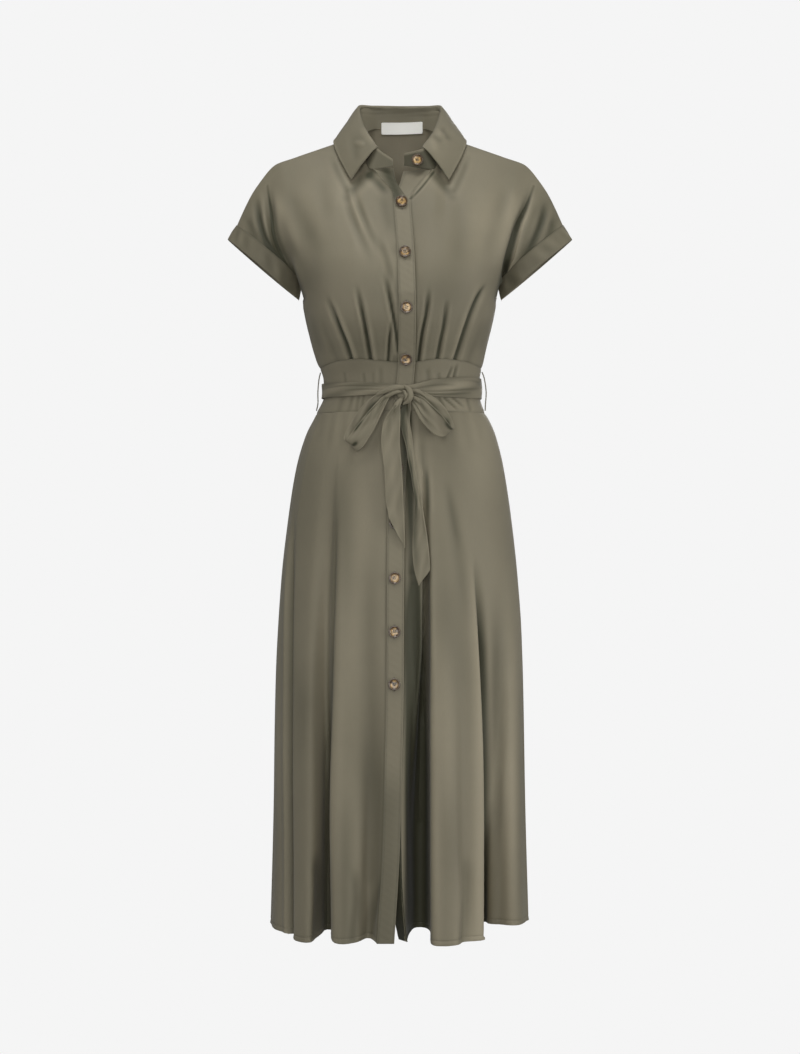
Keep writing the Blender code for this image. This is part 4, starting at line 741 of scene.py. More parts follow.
def add_piece(name, points, faces, uv, material, slot, nodes=(), crease=50, painted_shading=None):
    """A finished mesh piece. uv: one (u, v) in metres for each point. The last argument, if given: the
    shade painted into the colour at each point, a painted highlight below 0.
    """
    used, index = np.unique(np.concatenate([np.ravel(f) for f in faces]), return_inverse=True)
    remapped = []
    first = 0
    for block in faces:
        remapped += index[first : first + block.size].reshape(block.shape).tolist()
        first += block.size
    mesh = bpy.data.meshes.new(name)
    mesh.from_pydata(points[used].tolist(), [], remapped)
    loops = np.empty(len(mesh.loops), np.int32)
    mesh.loops.foreach_get("vertex_index", loops)
    layer = mesh.uv_layers.new(name="Cut")
    layer.data.foreach_set("uv", np.ravel(uv[used][loops]).astype(np.float32))
    # Painted shade: stored on the points, it darkens the cloth's colour in folds, seams and recesses,
    # and lightens it as a painted highlight below 0.
    if painted_shading is not None:
        depths = mesh.attributes.new("PaintedShade", "FLOAT", "POINT")
        kept = np.clip(np.ravel(painted_shading)[used], *PAINTED_SHADE_LIMITS)
        depths.data.foreach_set("value", kept.astype(np.float32))
    mesh.materials.append(material)
    mesh.shade_smooth()
    mesh.set_sharp_from_angle(angle=math.radians(crease))
    mesh.update()
    obj = bpy.data.objects.new(name, mesh)
    bpy.context.scene.collection.objects.link(obj)
    PIECES.append(Piece(obj, slot, nodes))
    return obj


def shell(
    node,
    outer,
    thickness,
    material,
    painted_shading=None,
    keep=None,
    closed=False,
    inside=0.0,
    slot="cloth_olive",
):
    """A closed thin shell in place of a node, whose outside is the grid `outer`.

    thickness may vary over it. keep: which cells have cloth. Painted shade, if given, is laid on its
    outside point by point. inside: the shade painted on its inner face, a painted lightening below 0,
    or None for the same as outside.
    """
    rows, columns = outer.shape[:2]
    inner = outer - grid_normals(outer, closed) * thickness
    across = np.arange(columns if closed else columns - 1)
    row, column = np.meshgrid(np.arange(rows - 1), across, indexing="ij")
    if keep is not None:
        row, column = row[keep], column[keep]
    row, column = np.ravel(row) * columns, np.ravel(column)
    after = (column + 1) % columns
    below = row + columns
    cells = np.stack([row + column, row + after, below + after, below + column], axis=-1)
    size = rows * columns
    edges = np.concatenate([cells[:, [i, (i + 1) % 4]] for i in range(4)])
    rim = edges[~np.isin(edges[:, 0] * size + edges[:, 1], edges[:, 1] * size + edges[:, 0])]
    sides = np.stack([rim[:, 1], rim[:, 0], rim[:, 0] + size, rim[:, 1] + size], axis=-1)
    u, v = lengths_along(outer, 1), -lengths_along(outer, 0)
    uv = np.stack([u - u[:, [columns // 2]], v], axis=-1).reshape(-1, 2)
    if painted_shading is not None:
        lining = painted_shading if inside is None else np.full(size, inside)
        painted_shading = np.concatenate([np.ravel(painted_shading), np.ravel(lining)])
    points = np.concatenate([outer.reshape(-1, 3), inner.reshape(-1, 3)])
    faces = [cells, cells[:, ::-1] + size, sides]
    uv = np.concatenate([uv, uv])
    return add_piece(node + "_cloth", points, faces, uv, material, slot, (node,), painted_shading=painted_shading)


def shade_painted_from_height(height, scale=0.0045):
    """Shade painted into the colour from the height of the folds: how deep in a fold the cloth lies,
    from -1 on a ridge (painted highlight) to 1 at the bottom of a trough (darkest painted shade).
    """
    return np.tanh(-height / scale)


def seam_dip(distance):
    return SEAM_DIP * near(distance, SEAM_REACH)


def edge_roll(distance, radius=0.0009):
    """How far the outside of a folded edge turns in, close to the edge."""
    share = np.clip(1 - distance / radius, 0, 1)
    return radius * (1 - np.sqrt(np.maximum(0, 1 - share**2)))


def stations(length, step, start, end=None):
    """Places from 0 to 1 along a length, with extra ones at set distances from its ends."""
    end = start if end is None else end
    first, last = max(start), length - max(end)
    body = np.linspace(first, last, max(2, int(round((last - first) / step)) + 1))
    places = np.concatenate([[0.0], start, body, [length - e for e in end], [length]])
    return np.unique(np.round(places, 6)) / length


def read_along(at, along, values):
    """Points or directions of a line read at distances from its start."""
    return np.stack([np.interp(at, along, values[:, i]) for i in range(3)], axis=-1)


def resample(line, places):
    """Points of a polyline at shares of its length."""
    along = run_of(line)
    return read_along(places * along[-1], along, line)


def tubes(rings):
    """Points and faces of closed tubes, each given by its rings of points from end to end."""
    faces, caps, first = [], [], 0
    for ring in rings:
        rows, sides = ring.shape[:2]
        row, column = np.meshgrid(np.arange(rows - 1), np.arange(sides), indexing="ij")
        row, column = np.ravel(row) * sides, np.ravel(column)
        after = (column + 1) % sides
        below = row + sides
        faces.append(first + np.stack([row + column, below + column, below + after, row + after], -1))
        caps.append(first + np.arange(sides)[None])
        caps.append(first + (rows - 1) * sides + np.arange(sides)[None, ::-1])
        first += rows * sides
    points = np.concatenate([ring.reshape(-1, 3) for ring in rings])
    return points, [np.concatenate(faces), np.concatenate(caps)]


# ---------------------------------------------------------------- stitches


def stitch_run(line, normals, sizes=STITCH):
    """Points and faces of a run of stitches lying along a line on the cloth."""
    pitch, length, width = sizes
    along = run_of(line)
    count = int(along[-1] / pitch)
    at = (np.arange(count) + 0.5) * along[-1] / count
    centre, up = read_along(at, along, line), unit(read_along(at, along, normals))
    ahead = unit(read_along(at + 0.0005, along, line) - centre)
    stopped = np.linalg.norm(ahead, axis=1, keepdims=True) < 0.5
    ahead = np.where(stopped, np.roll(ahead, 1, axis=0), ahead)
    side = unit(np.cross(up, ahead))
    half, w = length / 2, width / 2
    shape = [(-half, 0, -0.3 * w)]
    for reach in (-0.55 * half, 0.55 * half):
        shape += [(reach, w, 0), (reach, 0, 0.8 * w), (reach, -w, 0), (reach, 0, -0.8 * w)]
    shape = np.array([*shape, (half, 0, -0.3 * w)])
    frames = ahead[:, None], side[:, None], up[:, None]
    steps = shape[None, :, :1], shape[None, :, 1:2], shape[None, :, 2:] + STITCH_LIFT
    points = centre[:, None] + sum(way * step for way, step in zip(frames, steps))
    quads = [(1 + i, 1 + (i + 1) % 4, 5 + (i + 1) % 4, 5 + i) for i in range(4)]
    tris = [(0, 1 + (i + 1) % 4, 1 + i) for i in range(4)]
    tris += [(9, 5 + i, 5 + (i + 1) % 4) for i in range(4)]
    first = 10 * np.arange(count)[:, None, None]
    quads, tris = (np.array(faces)[None] + first for faces in (quads, tris))
    return points.reshape(-1, 3), quads.reshape(-1, 4), tris.reshape(-1, 3)


def stitches(name, runs, material, slot="thread_olive"):
    """One piece made of several runs of stitches, each a (line, normals) or (line, normals, sizes)."""
    points, quads, tris, first = [], [], [], 0
    for run in runs:
        p, q, t = stitch_run(*run)
        points.append(p)
        quads.append(q + first)
        tris.append(t + first)
        first += len(p)
    points = np.concatenate(points)
    faces = [np.concatenate(quads), np.concatenate(tris)]
    return add_piece(name, points, faces, points[:, [0, 2]], material, slot, crease=180)


# ---------------------------------------------------------------- bodice

# Places between the columns of the bodice tables, from the centre to the sleeve end.
BODICE_AT = np.concatenate(
    [np.linspace(0, 5, 91), np.linspace(5, SIDE, 37)[1:], np.linspace(SIDE, 11, 27)[1:]]
)
SIDE_COLUMN = list(BODICE_AT).index(SIDE)
UPPER_ROWS = 92  # down to the chest
LOWER_ROWS = 46  # from there to the waistband


def bodice_base():
    """Smooth halves of the bodice, {name: grid}, whose seams share their points."""
    at, rows = BODICE_AT, (UPPER_ROWS, LOWER_ROWS)
    right = bodice_grid(-1, FRONT_COLUMNS, at, *rows)
    left = bodice_grid(1, FRONT_COLUMNS, at, *rows, UNDER_STEP)
    back_right = bodice_grid(-1, BACK_COLUMNS, at, *rows)
    back_left = bodice_grid(1, BACK_COLUMNS, at, *rows)
    for front, half in ((right, back_right), (left, back_left)):
        half[0, at >= SHOULDER] = front[0, at >= SHOULDER]
        half[UPPER_ROWS, at >= SIDE] = front[UPPER_ROWS, at >= SIDE]
        half[UPPER_ROWS:, at == SIDE] = front[UPPER_ROWS:, at == SIDE]
    return {"right": right, "left": left, "back_right": back_right, "back_left": back_left}


def bodice_half(grid, folds, shades, is_front):
    """Height and painted shade of one half's folds, drawn in along its seams. Columns run outwards."""
    down, across = lengths_along(grid, 0), lengths_along(grid, 1)
    from_foot = down[-1] - down
    sleeve = slice(SIDE_COLUMN + 1, None)
    from_foot[:, sleeve] = down[UPPER_ROWS, sleeve] - down[:, sleeve]
    is_lower = np.arange(len(grid))[:, None] >= UPPER_ROWS
    side = np.where(is_lower, np.abs(across - across[:, [SIDE_COLUMN]]), 1.0)
    under_arm = np.where(BODICE_AT > SIDE, from_foot, 1.0)
    cuff = across[:, [-1]] - across
    height = ripple(grid[..., 0], grid[..., 2], 0.00045) + folded(grid, folds)
    centre = across if is_front else np.full_like(across, 1.0)
    # Painted shade in the folds and along the shade lines, and a painted shadow beside the placket's
    # seam.
    painted_shading = shade_painted_from_height(height) + shade_of(grid, shades) + 0.5 * near(centre, 0.0020)
    free = np.minimum.reduce([down, side, np.abs(under_arm), np.abs(cuff)])
    height = height * smooth(free / 0.012) * (0.75 + 0.25 * smooth(from_foot / 0.008))
    height = height * smooth(centre / 0.006)
    seams = np.minimum.reduce([down, side, np.abs(from_foot)])
    # Painted shade along the seams as well.
    return height - seam_dip(seams), painted_shading + 0.35 * near(seams, 0.0016)


def eased(grid, share, rounds, axis):
    """The grid drawn towards its own middle along one axis, by a share at each point, in rounds."""
    for _ in range(rounds):
        lines = np.moveaxis(grid, axis, 0)
        middle = lines.copy()
        middle[1:-1] = (lines[:-2] + lines[2:]) / 2
        grid = grid + (np.moveaxis(middle, 0, axis) - grid) * share[..., None]
    return grid


def ease_chest(grid):
    """The grid with the turn at the chest rounded off, away from the side seam."""
    across = lengths_along(grid, 1)
    inside = smooth((across[:, [SIDE_COLUMN]] - across) / 0.030)
    beside = smooth(1 - np.abs(np.arange(len(grid)) - UPPER_ROWS) / 26.0)
    return eased(grid, 0.8 * inside * beside[:, None], 90, 0)


def ease_armhole(grid):
    """The grid with the doubled-over cloth between body and sleeve drawn out flat."""
    row = np.arange(len(grid))[:, None]
    column = np.arange(grid.shape[1])[None]
    beside = 1 - np.abs(column - SIDE_COLUMN + 5) / 24.0
    share = 0.9 * smooth(row / 8.0) * smooth((UPPER_ROWS - 8 - row) / 20.0) * smooth(1.6 * beside)
    return eased(grid, share, 200, 1)


def bodice(material):
    halves = {name: ease_armhole(ease_chest(grid)) for name, grid in bodice_base().items()}
    row = np.arange(UPPER_ROWS + LOWER_ROWS)[:, None]
    column = np.arange(len(BODICE_AT) - 1)[None]
    half_cloth = (row < UPPER_ROWS) | (column < SIDE_COLUMN)
    made = {}
    for name, side, folds, shades in (
        ("right", -1, RIGHT_BODICE_FOLDS, RIGHT_BODICE_SHADES),
        ("left", 1, LEFT_BODICE_FOLDS, LEFT_BODICE_SHADES),
    ):
        blocks = halves[name], *bodice_half(halves[name], folds, shades, True), half_cloth
        grid, height, painted_shading, cloth = (block[:, ::-side] for block in blocks)
        node = f"bodice_front_{name}"
        made[node] = shell(node, raised(grid, height), CLOTH, material, painted_shading, cloth)
    backs = halves["back_right"], halves["back_left"]
    blocks = [(half, *bodice_half(half, BACK_BODICE_FOLDS, [], False)) for half in backs]
    grid, height, painted_shading = (
        np.concatenate([right[:, ::-1], left[:, 1:]], axis=1) for right, left in zip(*blocks)
    )
    cloth = np.concatenate([half_cloth[:, ::-1], half_cloth], axis=1)
    outer = raised(grid, height)
    # The inner face gets painted light: its colour is made lighter than the outside's.
    made["bodice_back"] = shell("bodice_back", outer, CLOTH, material, painted_shading, cloth, inside=-0.8)
    return made


def facing_out(grid):
    """The grid with its columns turned round if its outside faces its own middle."""
    away = grid - grid.reshape(-1, 3).mean(axis=0)
    return grid if (grid_normals(grid, closed=True) * away).sum() > 0 else grid[:, ::-1]


def cuffs(material):
    """Turned-up bands round the two sleeve ends, standing a little proud of the sleeve."""
    turn = np.linspace(0, 1, 49)
    bulge = np.sin(math.pi * turn)
    share = (1 - np.cos(math.pi * turn)) / 2
    made = {}
    for name, side in (("cuff_right", -1), ("cuff_left", 1)):
        rows = []
        for step in stations(0.024, 0.002, (0.0004, 0.0009), (0.0004, 0.0009, 0.0016)):
            halves = []
            for columns, facing in ((FRONT_COLUMNS, -1), (BACK_COLUMNS, 1)):
                seam = columns[-1]
                top = np.array([seam.top_x, seam.top_z])
                line = top + (np.array(UNDERARM) - top) * share[:, None]
                hem = np.array(CUFF_TIP) + np.subtract(CUFF_FOOT, CUFF_TIP) * share[:, None]
                at_seam = arm_depth([*seam[6:], 0.0], share) + (CUFF_PROUD + 0.0008) * bulge**0.5
                at_hem = arm_depth(CUFF_HEM_DEPTHS, share)
                xz = line + (hem - line) * (1.07 * step - 0.07)
                y = at_seam + (at_hem - at_seam) * step
                halves.append(np.stack([side * xz[:, 0], facing * y, xz[:, 1]], axis=-1))
            rows.append(np.concatenate([halves[0], halves[1][-2:0:-1]]))
        grid = facing_out(np.array(rows))
        down = lengths_along(grid, 0)
        between = np.sin(math.pi * down / down[-1])
        place = 2 * math.pi * np.arange(grid.shape[1]) / grid.shape[1]
        wave = 0.0005 * np.sin(5 * place + 0.4 * math.pi) + 0.0004 * np.sin(9 * place + 1.2 * math.pi)
        crumple = np.sin(14 * place + 0.6 * math.pi + 120 * down) * np.sin(3 * place + 1) * between
        height = 0.0007 + wave * between + 0.0006 * crumple
        height = height - edge_roll(down) - edge_roll(down[-1] - down, 0.0012)
        # Painted shade over the whole cuff, lighter and darker with its crumples and darkest along its
        # seam to the sleeve.
        painted_shading = 0.34 - 0.22 * crumple + 0.35 * near(down, 0.0016)
        outer = raised(grid, height, closed=True)
        made[name] = shell(name, outer, CUFF_CLOTH, material, painted_shading, closed=True)
    return made


# ---------------------------------------------------------------- waist and skirt

WAIST_FOLDS = [
    Fold([(83.5, -340), (78, -362)], 2, 1.9, (0.3, 1)),
    Fold([(76.5, -343), (69, -361)], 1.8, 1.8, (0.3, 1)),
    Fold([(56, -350), (57.5, -364)], 2.6, 0.9, (0, 1)),
    Fold([(40, -344), (42, -364)], 3.4, 0.8, (0, 1)),
    Fold([(65, -388), (85, -405)], 1.8, 1.8, (1, 0.2)),
    Fold([(76, -386), (93, -400)], 1.8, 1.6, (1, 0.2)),
    Fold([(56, -386), (66, -405)], 2.2, 1.4, (1, 0.3)),
    Fold([(98, -384), (103, -404)], 2.6, 0.9, (1, 1)),
    Fold([(-53, -384), (-56.5, -408)], 2, 0.9, (1, 0.6)),
    Fold([(-60, -384), (-64, -408)], 2.4, 0.7, (1, 0.6)),
    Fold([(-70, -386), (-75, -407)], 2.6, 0.6, (1, 0.8)),
    Fold([(-84, -386), (-90, -407)], 3.4, 0.5, (1, 1)),
    Fold([(-82, -348), (-80, -364)], 2.2, 0.6, (0, 1)),
    Fold([(-54, -350), (-52, -365)], 2, 0.7, (0, 1)),
    Fold([(-40, -350), (-38.5, -365)], 2, 0.5, (0, 1)),
    Fold([(-29, -342), (-28, -366)], 3, 0.5, (0, 1)),
]


def finish_band(grid):
    """Outside and painted shade of a piece of waistband, with its folds and drawn in along its seams.
    """
    height = ripple(grid[..., 0], grid[..., 2], 0.0002)
    height = height + folded(grid, WAIST_FOLDS) * (grid[..., 1] < 0)
    seams = np.minimum(from_ends(grid), from_sides(grid))
    # Painted shade in the folds and along the seams.
    painted_shading = shade_painted_from_height(height, 0.0022) + 0.30 * near(seams, 0.0014)
    height = height * smooth(seams / 0.003) - 0.7 * seam_dip(seams)
    return raised(grid, height), painted_shading


def waistband(material):
    made = {}
    bearings = np.linspace(6, 90, 85)
    out = bearings - bearings[0]
    shares = stations(0.068, 0.0026, (0.0007, 0.0015))
    for name, side, step in (("right", -1, 0.0), ("left", 1, UNDER_STEP)):
        rows = []
        for share in shares:
            top = band_top(bearings)
            z = top + (WAIST_SEAM_Z - top) * share
            row = on_ring(side * bearings, z)
            seam = band_edges(side, z)[0]
            row[:, 0] += (seam[0] - row[0, 0]) * np.clip(1 - out / 16.0, 0, 1) ** 2
            row[:, 1] += step * np.clip(1 - out / 9.0, 0, 1) ** 2
            rows.append(row)
        outer, painted_shading = finish_band(np.array(rows)[:, ::-side])
        node = f"waistband_front_{name}"
        made[node] = shell(node, outer, BAND_CLOTH, material, painted_shading)
    heights = BAND_SEAM_BACK_Z + (WAIST_SEAM_Z - BAND_SEAM_BACK_Z) * shares
    rows = [on_ring(np.linspace(-90, -270, 121), z) for z in heights]
    outer, painted_shading = finish_band(np.array(rows))
    made["waistband_back"] = shell("waistband_back", outer, BAND_CLOTH, material, painted_shading)
    return made


SKIRT_LENGTH = WAIST_SEAM_Z - HEM_Z
SKIRT_SHARES = stations(
    SKIRT_LENGTH,
    0.0056,
    (0.0008, 0.0016, 0.0026, 0.0040),
    (0.0005, 0.0012, 0.0030, 0.0050, 0.0064, 0.0072, 0.0080, 0.0087, 0.0100, 0.0130),
)
HEM_STITCH = 0.0072  # height of the stitching above the hem


def skirt_panel(gores, across_step, folds, shades, seam=None):
    """Outside, thickness and painted shade of a skirt panel between the gore lines it is given."""
    rows = []
    for share in SKIRT_SHARES:
        points = gore_ring(gores, [WAIST_SEAM_Z] * len(gores), share)
        if seam is not None:
            first, point = seam(share)
            points = np.concatenate([[point], points] if first else [points, [point]])
        rows.append(through_points(points, 16))
    places = stations(run_of(rows[-1])[-1], across_step, (0.0012, 0.0026, 0.0045))
    grid = np.array([resample(row, places) for row in rows])
    down, across = lengths_along(grid, 0), lengths_along(grid, 1)
    edges = from_sides(grid)
    from_hem = (1 - SKIRT_SHARES)[:, None] * SKIRT_LENGTH
    height = ripple(grid[..., 0], grid[..., 2] * 0.35, 0.0010) + folded(grid, folds)
    # Painted shade in the folds, along the shade lines and beside the panel's edges.
    painted_shading = shade_painted_from_height(height, 0.0075) + shade_of(grid, shades) + 0.45 * near(edges, 0.0020)
    height = height * smooth(edges / 0.010) * (0.4 + 0.6 * smooth(down / 0.012))
    height = height - seam_dip(np.minimum(down, edges)) * np.where(from_hem < 0.004, 0.3, 1)
    groove = near(from_hem - HEM_STITCH, 0.0011)
    pucker = np.sin(2 * math.pi * across / 0.0072 + 1.3 * np.sin(40 * across))
    height = height - 0.0005 * groove + 0.00035 * pucker * near(from_hem, 0.010)
    outer = raised(grid, height - edge_roll(from_hem, 0.0008))
    thickness = CLOTH * (1 + 1.2 * smooth((HEM_FOLD - from_hem) / 0.0009))
    return outer, thickness[..., None] * np.ones(outer.shape[:2] + (1,)), painted_shading


def skirt(material):
    """The three panels of the skirt, and the runs of their hem stitching."""
    back_gores = [RIGHT_FRONT_GORES[-1], *BACK_GORES, LEFT_FRONT_GORES[0]]
    stitch_row = int(np.argmin(np.abs((1 - SKIRT_SHARES) * SKIRT_LENGTH - HEM_STITCH)))
    front_right = RIGHT_FRONT_GORES, 0.0030, RIGHT_SKIRT_FOLDS, RIGHT_SKIRT_SHADES, right_seam
    front_left = LEFT_FRONT_GORES, 0.0030, LEFT_SKIRT_FOLDS, LEFT_SKIRT_SHADES, left_seam
    made, runs = {}, []
    for node, panel in (
        ("skirt_front_right", front_right),
        ("skirt_back", (back_gores, 0.0042, BACK_SKIRT_FOLDS, [])),
        ("skirt_front_left", front_left),
    ):
        outer, thickness, painted_shading = skirt_panel(*panel)
        made[node] = shell(node, outer, thickness, material, painted_shading)
        runs.append((outer[stitch_row], grid_normals(outer)[stitch_row]))
    return made, runs


# ---------------------------------------------------------------- placket bands

BUTTON_HEIGHTS = -MM * np.array(
    [103.2, 179.7, 259.9, 333.2, 411.2, 491.2, 570.8, 650.2, 727.2, 802.6]
)
COLLAR_BUTTON = (0.0257, -0.0540, -0.0370)  # on the wearer's left end of the stand
PLACKET_STITCH = 0.0019  # from each edge of a placket band to its stitching
BAND_JOIN_Z = -0.3475  # a seam across the front band at the waist


def placket_band(side):
    """Outside of a placket band from the collar stand to the hem, the places of its columns
    and its painted shade."""
    top = RIGHT_BAND_NECK.seam[0][0] if side < 0 else LEFT_BAND_NECK.seam[0][0]
    z = np.concatenate([np.arange(top, HEM_Z + 0.001, -0.0027), [HEM_Z + 0.0006, HEM_Z]])
    seam_x, free_x = band_edges(side, z)
    depth = -centre_depth(z) + (UNDER_STEP if side > 0 else 0)
    seam = np.stack([seam_x, depth, z], axis=-1)
    roll = NECK_ROLL * np.clip((z - PLACKET_TOP + 0.004) / 0.05, 0, 1) ** 1.2
    free = np.stack([free_x, depth + roll, z], axis=-1)
    if side > 0:
        for i, height in enumerate(z):
            share = (WAIST_SEAM_Z - height) / SKIRT_LENGTH
            if share > LEFT_PLACKET_START:
                seam[i], free[i] = left_band_points(share)
    start, end = (free, seam) if side < 0 else (seam, free)
    places = stations(PLACKET_WIDTH, 0.0019, (0.0003, 0.0007, 0.0012, PLACKET_STITCH))
    grid = start[:, None] + (end - start)[:, None] * places[None, :, None]
    z = z[:, None]
    across = places[None] * PLACKET_WIDTH
    edge = np.minimum(across, PLACKET_WIDTH - across) * np.ones((len(z), 1))
    stitched = near(edge - PLACKET_STITCH, 0.0008)
    height = PLACKET_PROUD - edge_roll(edge, 0.0010) - edge_roll(z - HEM_Z, 0.0008)
    height = height - 0.00022 * stitched
    height = height + 0.00014 * np.sin(-2 * math.pi * z / 0.011 + 9 * across / PLACKET_WIDTH)
    height = height + ripple(across + 0.1, z, 0.00022)
    if side < 0:
        middle = np.cos(math.pi * (across / PLACKET_WIDTH - 0.5)) ** 2
        for level in BUTTON_HEIGHTS:
            height = height - 0.0003 * near(z - level, 0.012) * middle
        height = height - 0.0007 * near(z - BAND_JOIN_Z, 0.0011)
    # Painted shade from the shade lines and along the stitching, and a painted highlight on the very
    # edges.
    painted_shading = shade_of(grid, RIGHT_PLACKET_SHADES if side < 0 else LEFT_PLACKET_SHADES)
    painted_shading = painted_shading + 0.30 * stitched - 0.2 * (edge < 0.0006)
    return raised(grid, height), places, painted_shading


def plackets(material):
    """The two placket bands, the runs of their stitching and their middle lines."""
    made, runs, lines = {}, [], {}
    stitched = PLACKET_STITCH / PLACKET_WIDTH
    for node, side in (("placket_right", -1), ("placket_left", 1)):
        outer, places, painted_shading = placket_band(side)
        made[node] = shell(node, outer, BAND_CLOTH, material, painted_shading)
        normals = grid_normals(outer)
        first, last, middle = (
            np.argmin(np.abs(places - place)) for place in (stitched, 1 - stitched, 0.5)
        )
        runs += [(outer[:, column], normals[:, column]) for column in (first, last)]
        lines[node] = outer[:, middle], normals[:, middle]
    return made, runs, lines


def at_height(line, z, values=None):
    """Point at height z on a line that runs downwards, or what else is given along it there."""
    values = line if values is None else values
    return np.array([np.interp(-z, -line[:, 2], values[:, i]) for i in range(3)])


BUTTONHOLE = 0.0105  # half its length


def buttonhole_runs(line, normals):
    """Worked edges of the upright buttonholes, which show above and below the buttons."""
    runs = []
    for z in BUTTON_HEIGHTS:
        heights = np.linspace(z + BUTTONHOLE, z - BUTTONHOLE, 9)
        points = np.array([at_height(line, h) for h in heights])
        ups = unit(np.array([at_height(line, h, normals) for h in heights]))
        for off in (-0.0008, 0.0008):
            runs.append((points + np.array([off, 0, 0]), ups, (0.0021, 0.0024, 0.0009)))
        for end in (0, -1):
            bar = points[end] + np.linspace(-0.0016, 0.0016, 3)[:, None] * np.array([1, 0, 0])
            runs.append((bar, ups[:3], (0.0015, 0.0017, 0.0010)))
    return runs


# ---------------------------------------------------------------- collar and label

# Top of the stand at stops along the neckline, from the wearer's left end to the centre
# back: (place, x, y, z). Places 0 to 2 are columns of the front, 2 to 4 those of the back.
STAND_TOP = [
    (0, 0.0323, -0.0535, -0.0205),
    (1, 0.0490, -0.0220, 0.0060),
    (2, 0.0590, 0.0150, 0.0340),
    (2.5, 0.0605, 0.0500, 0.0562),
    (3, 0.0400, 0.0610, 0.0582),
    (4, 0.0000, 0.0650, 0.0587),
]
STAND_PLACES = (0, 0.5, 1, 1.5, 2, 2.5, 3, 3.5, 4)
StandEnd = namedtuple("StandEnd", "foot top")
STAND_ENDS = {
    -1: StandEnd((-0.0103, -0.0465, -0.0455), (-0.0103, -0.0475, -0.0350)),
    1: StandEnd((0.0060, -0.0435, -0.0440), (0.0060, -0.0450, -0.0260)),
}
STAND_TUCK = 0.0026  # how far the foot of the stand reaches past the neckline
SHOULDER_EDGE = [  # outer edge of the collar: (x, z), seen from the front, from its point
    (0.0712, -0.0664),
    (0.0900, -0.0260),
    (0.0965, -0.0010),
]
BACK_EDGE = [(0.0840, 0.0560, 0.0020), (0.0480, 0.0800, 0.0000), (0.0000, 0.0860, -0.0005)]
COLLAR_CLEAR = 0.0050  # between the bodice and the outside of the collar's edge
ROLL_OUT = 0.0028  # how far the collar turns over outside the top of its stand
ROLL_UP = 0.0028
STAND_CREASES = (  # round the back: distance below the top, depth, lean and width
    (0.0052, 0.0011, 0.020, 0.0012),
    (0.0088, 0.0008, -0.015, 0.0014),
    (0.0125, 0.0006, 0.030, 0.0018),
)
LABEL_SIZE = (0.0625, 0.0180)
LABEL_CENTRE = (0.003, 0.0262)  # (x, z)
LABEL_STITCH = 0.0016  # from each end of the label to its stitching


def stand_tops(side):
    table = np.array(STAND_TOP)
    tops = curve_through(table[:, 0], table[:, 1:], STAND_PLACES)
    return tops * (side, 1, 1)


def neckline(side):
    """Neck edge of one half of the bodice at the stand's places, from its front end."""
    step = UNDER_STEP if side > 0 else 0
    front = bodice_grid(side, FRONT_COLUMNS, np.array([0, 0.5, 1, 1.5, 2]), 1, 1, step)
    back = bodice_grid(side, BACK_COLUMNS, np.array([1.5, 1, 0.5, 0]), 1, 1)
    return np.concatenate([front[0], back[0]])


def stand_half(side):
    tops = np.concatenate([[STAND_ENDS[side].top], stand_tops(side)])
    edge = neckline(side)
    rise = unit(tops[1:] - edge)
    feet = np.concatenate([[STAND_ENDS[side].foot], edge - rise * STAND_TUCK])
    return feet, tops


def both_sides(right, left):
    """Joins the two halves of a strip that meet at the centre back."""
    return np.concatenate([right, left[::-1][1:]])


def collar_stand(material):
    right, left = stand_half(-1), stand_half(1)
    foot = through_points(both_sides(right[0], left[0]), 12)
    top = through_points(both_sides(right[1], left[1]), 12)
    shares = stations(0.030, 0.0016, (0.0004, 0.0010))
    grid = top[None] + (foot - top)[None] * shares[:, None, None]
    down = lengths_along(grid, 0)
    x, y, z = np.moveaxis(grid, -1, 0)
    at_back = smooth((y - 0.020) / 0.03)
    crease = 0
    for level, depth, lean, width in STAND_CREASES:
        uneven = 0.6 + 0.4 * np.sin(60 * x + level * 900)
        crease = crease + depth * near(down - level - lean * x, width) * uneven
    height = 0.0004 + crease * at_back + ripple(x, z, 0.0003)
    height = height - edge_roll(np.minimum(from_ends(grid), from_sides(grid)), 0.0009)
    height = height + 0.0022 * np.sin(math.pi * np.clip(down / down[-1], 0, 1)) * at_back
    # Painted shadow on the front of the stand below its top edge, where the collar shades it, deeper at
    # the wearer's left end; painted shade on its inner face too.
    at_front = smooth((-0.028 - y) / 0.012) * smooth((down - 0.0022) / 0.0022)
    painted_shading = np.where(x < 0, 0.55, 0.85) * at_front
    outer = raised(grid, height)
    return shell("collar_stand", outer, BAND_CLOTH, material, painted_shading, inside=0.28)


def collar_half(side):
    """Roll line, outer edge and outward directions of one half of the turned-down collar."""
    front = bodice_grid(side, FRONT_COLUMNS, np.linspace(0, 7, 71), 60, 1).reshape(-1, 3)
    tops = stand_tops(side)[[0, 2, 4, 5, 6, 8]]
    out = unit((tops - np.array([0, 0.005, 0])) * (1, 1, 0))
    roll = tops + out * ROLL_OUT + np.array([0, 0, ROLL_UP])
    edge = []
    for x, z in SHOULDER_EDGE:
        below = front[np.argmin(np.hypot(front[:, 0] - side * x, front[:, 2] - z))]
        edge.append((side * x, below[1] - COLLAR_CLEAR, z))
    edge += [(side * x, y, z) for x, y, z in BACK_EDGE]
    return roll, np.array(edge), out


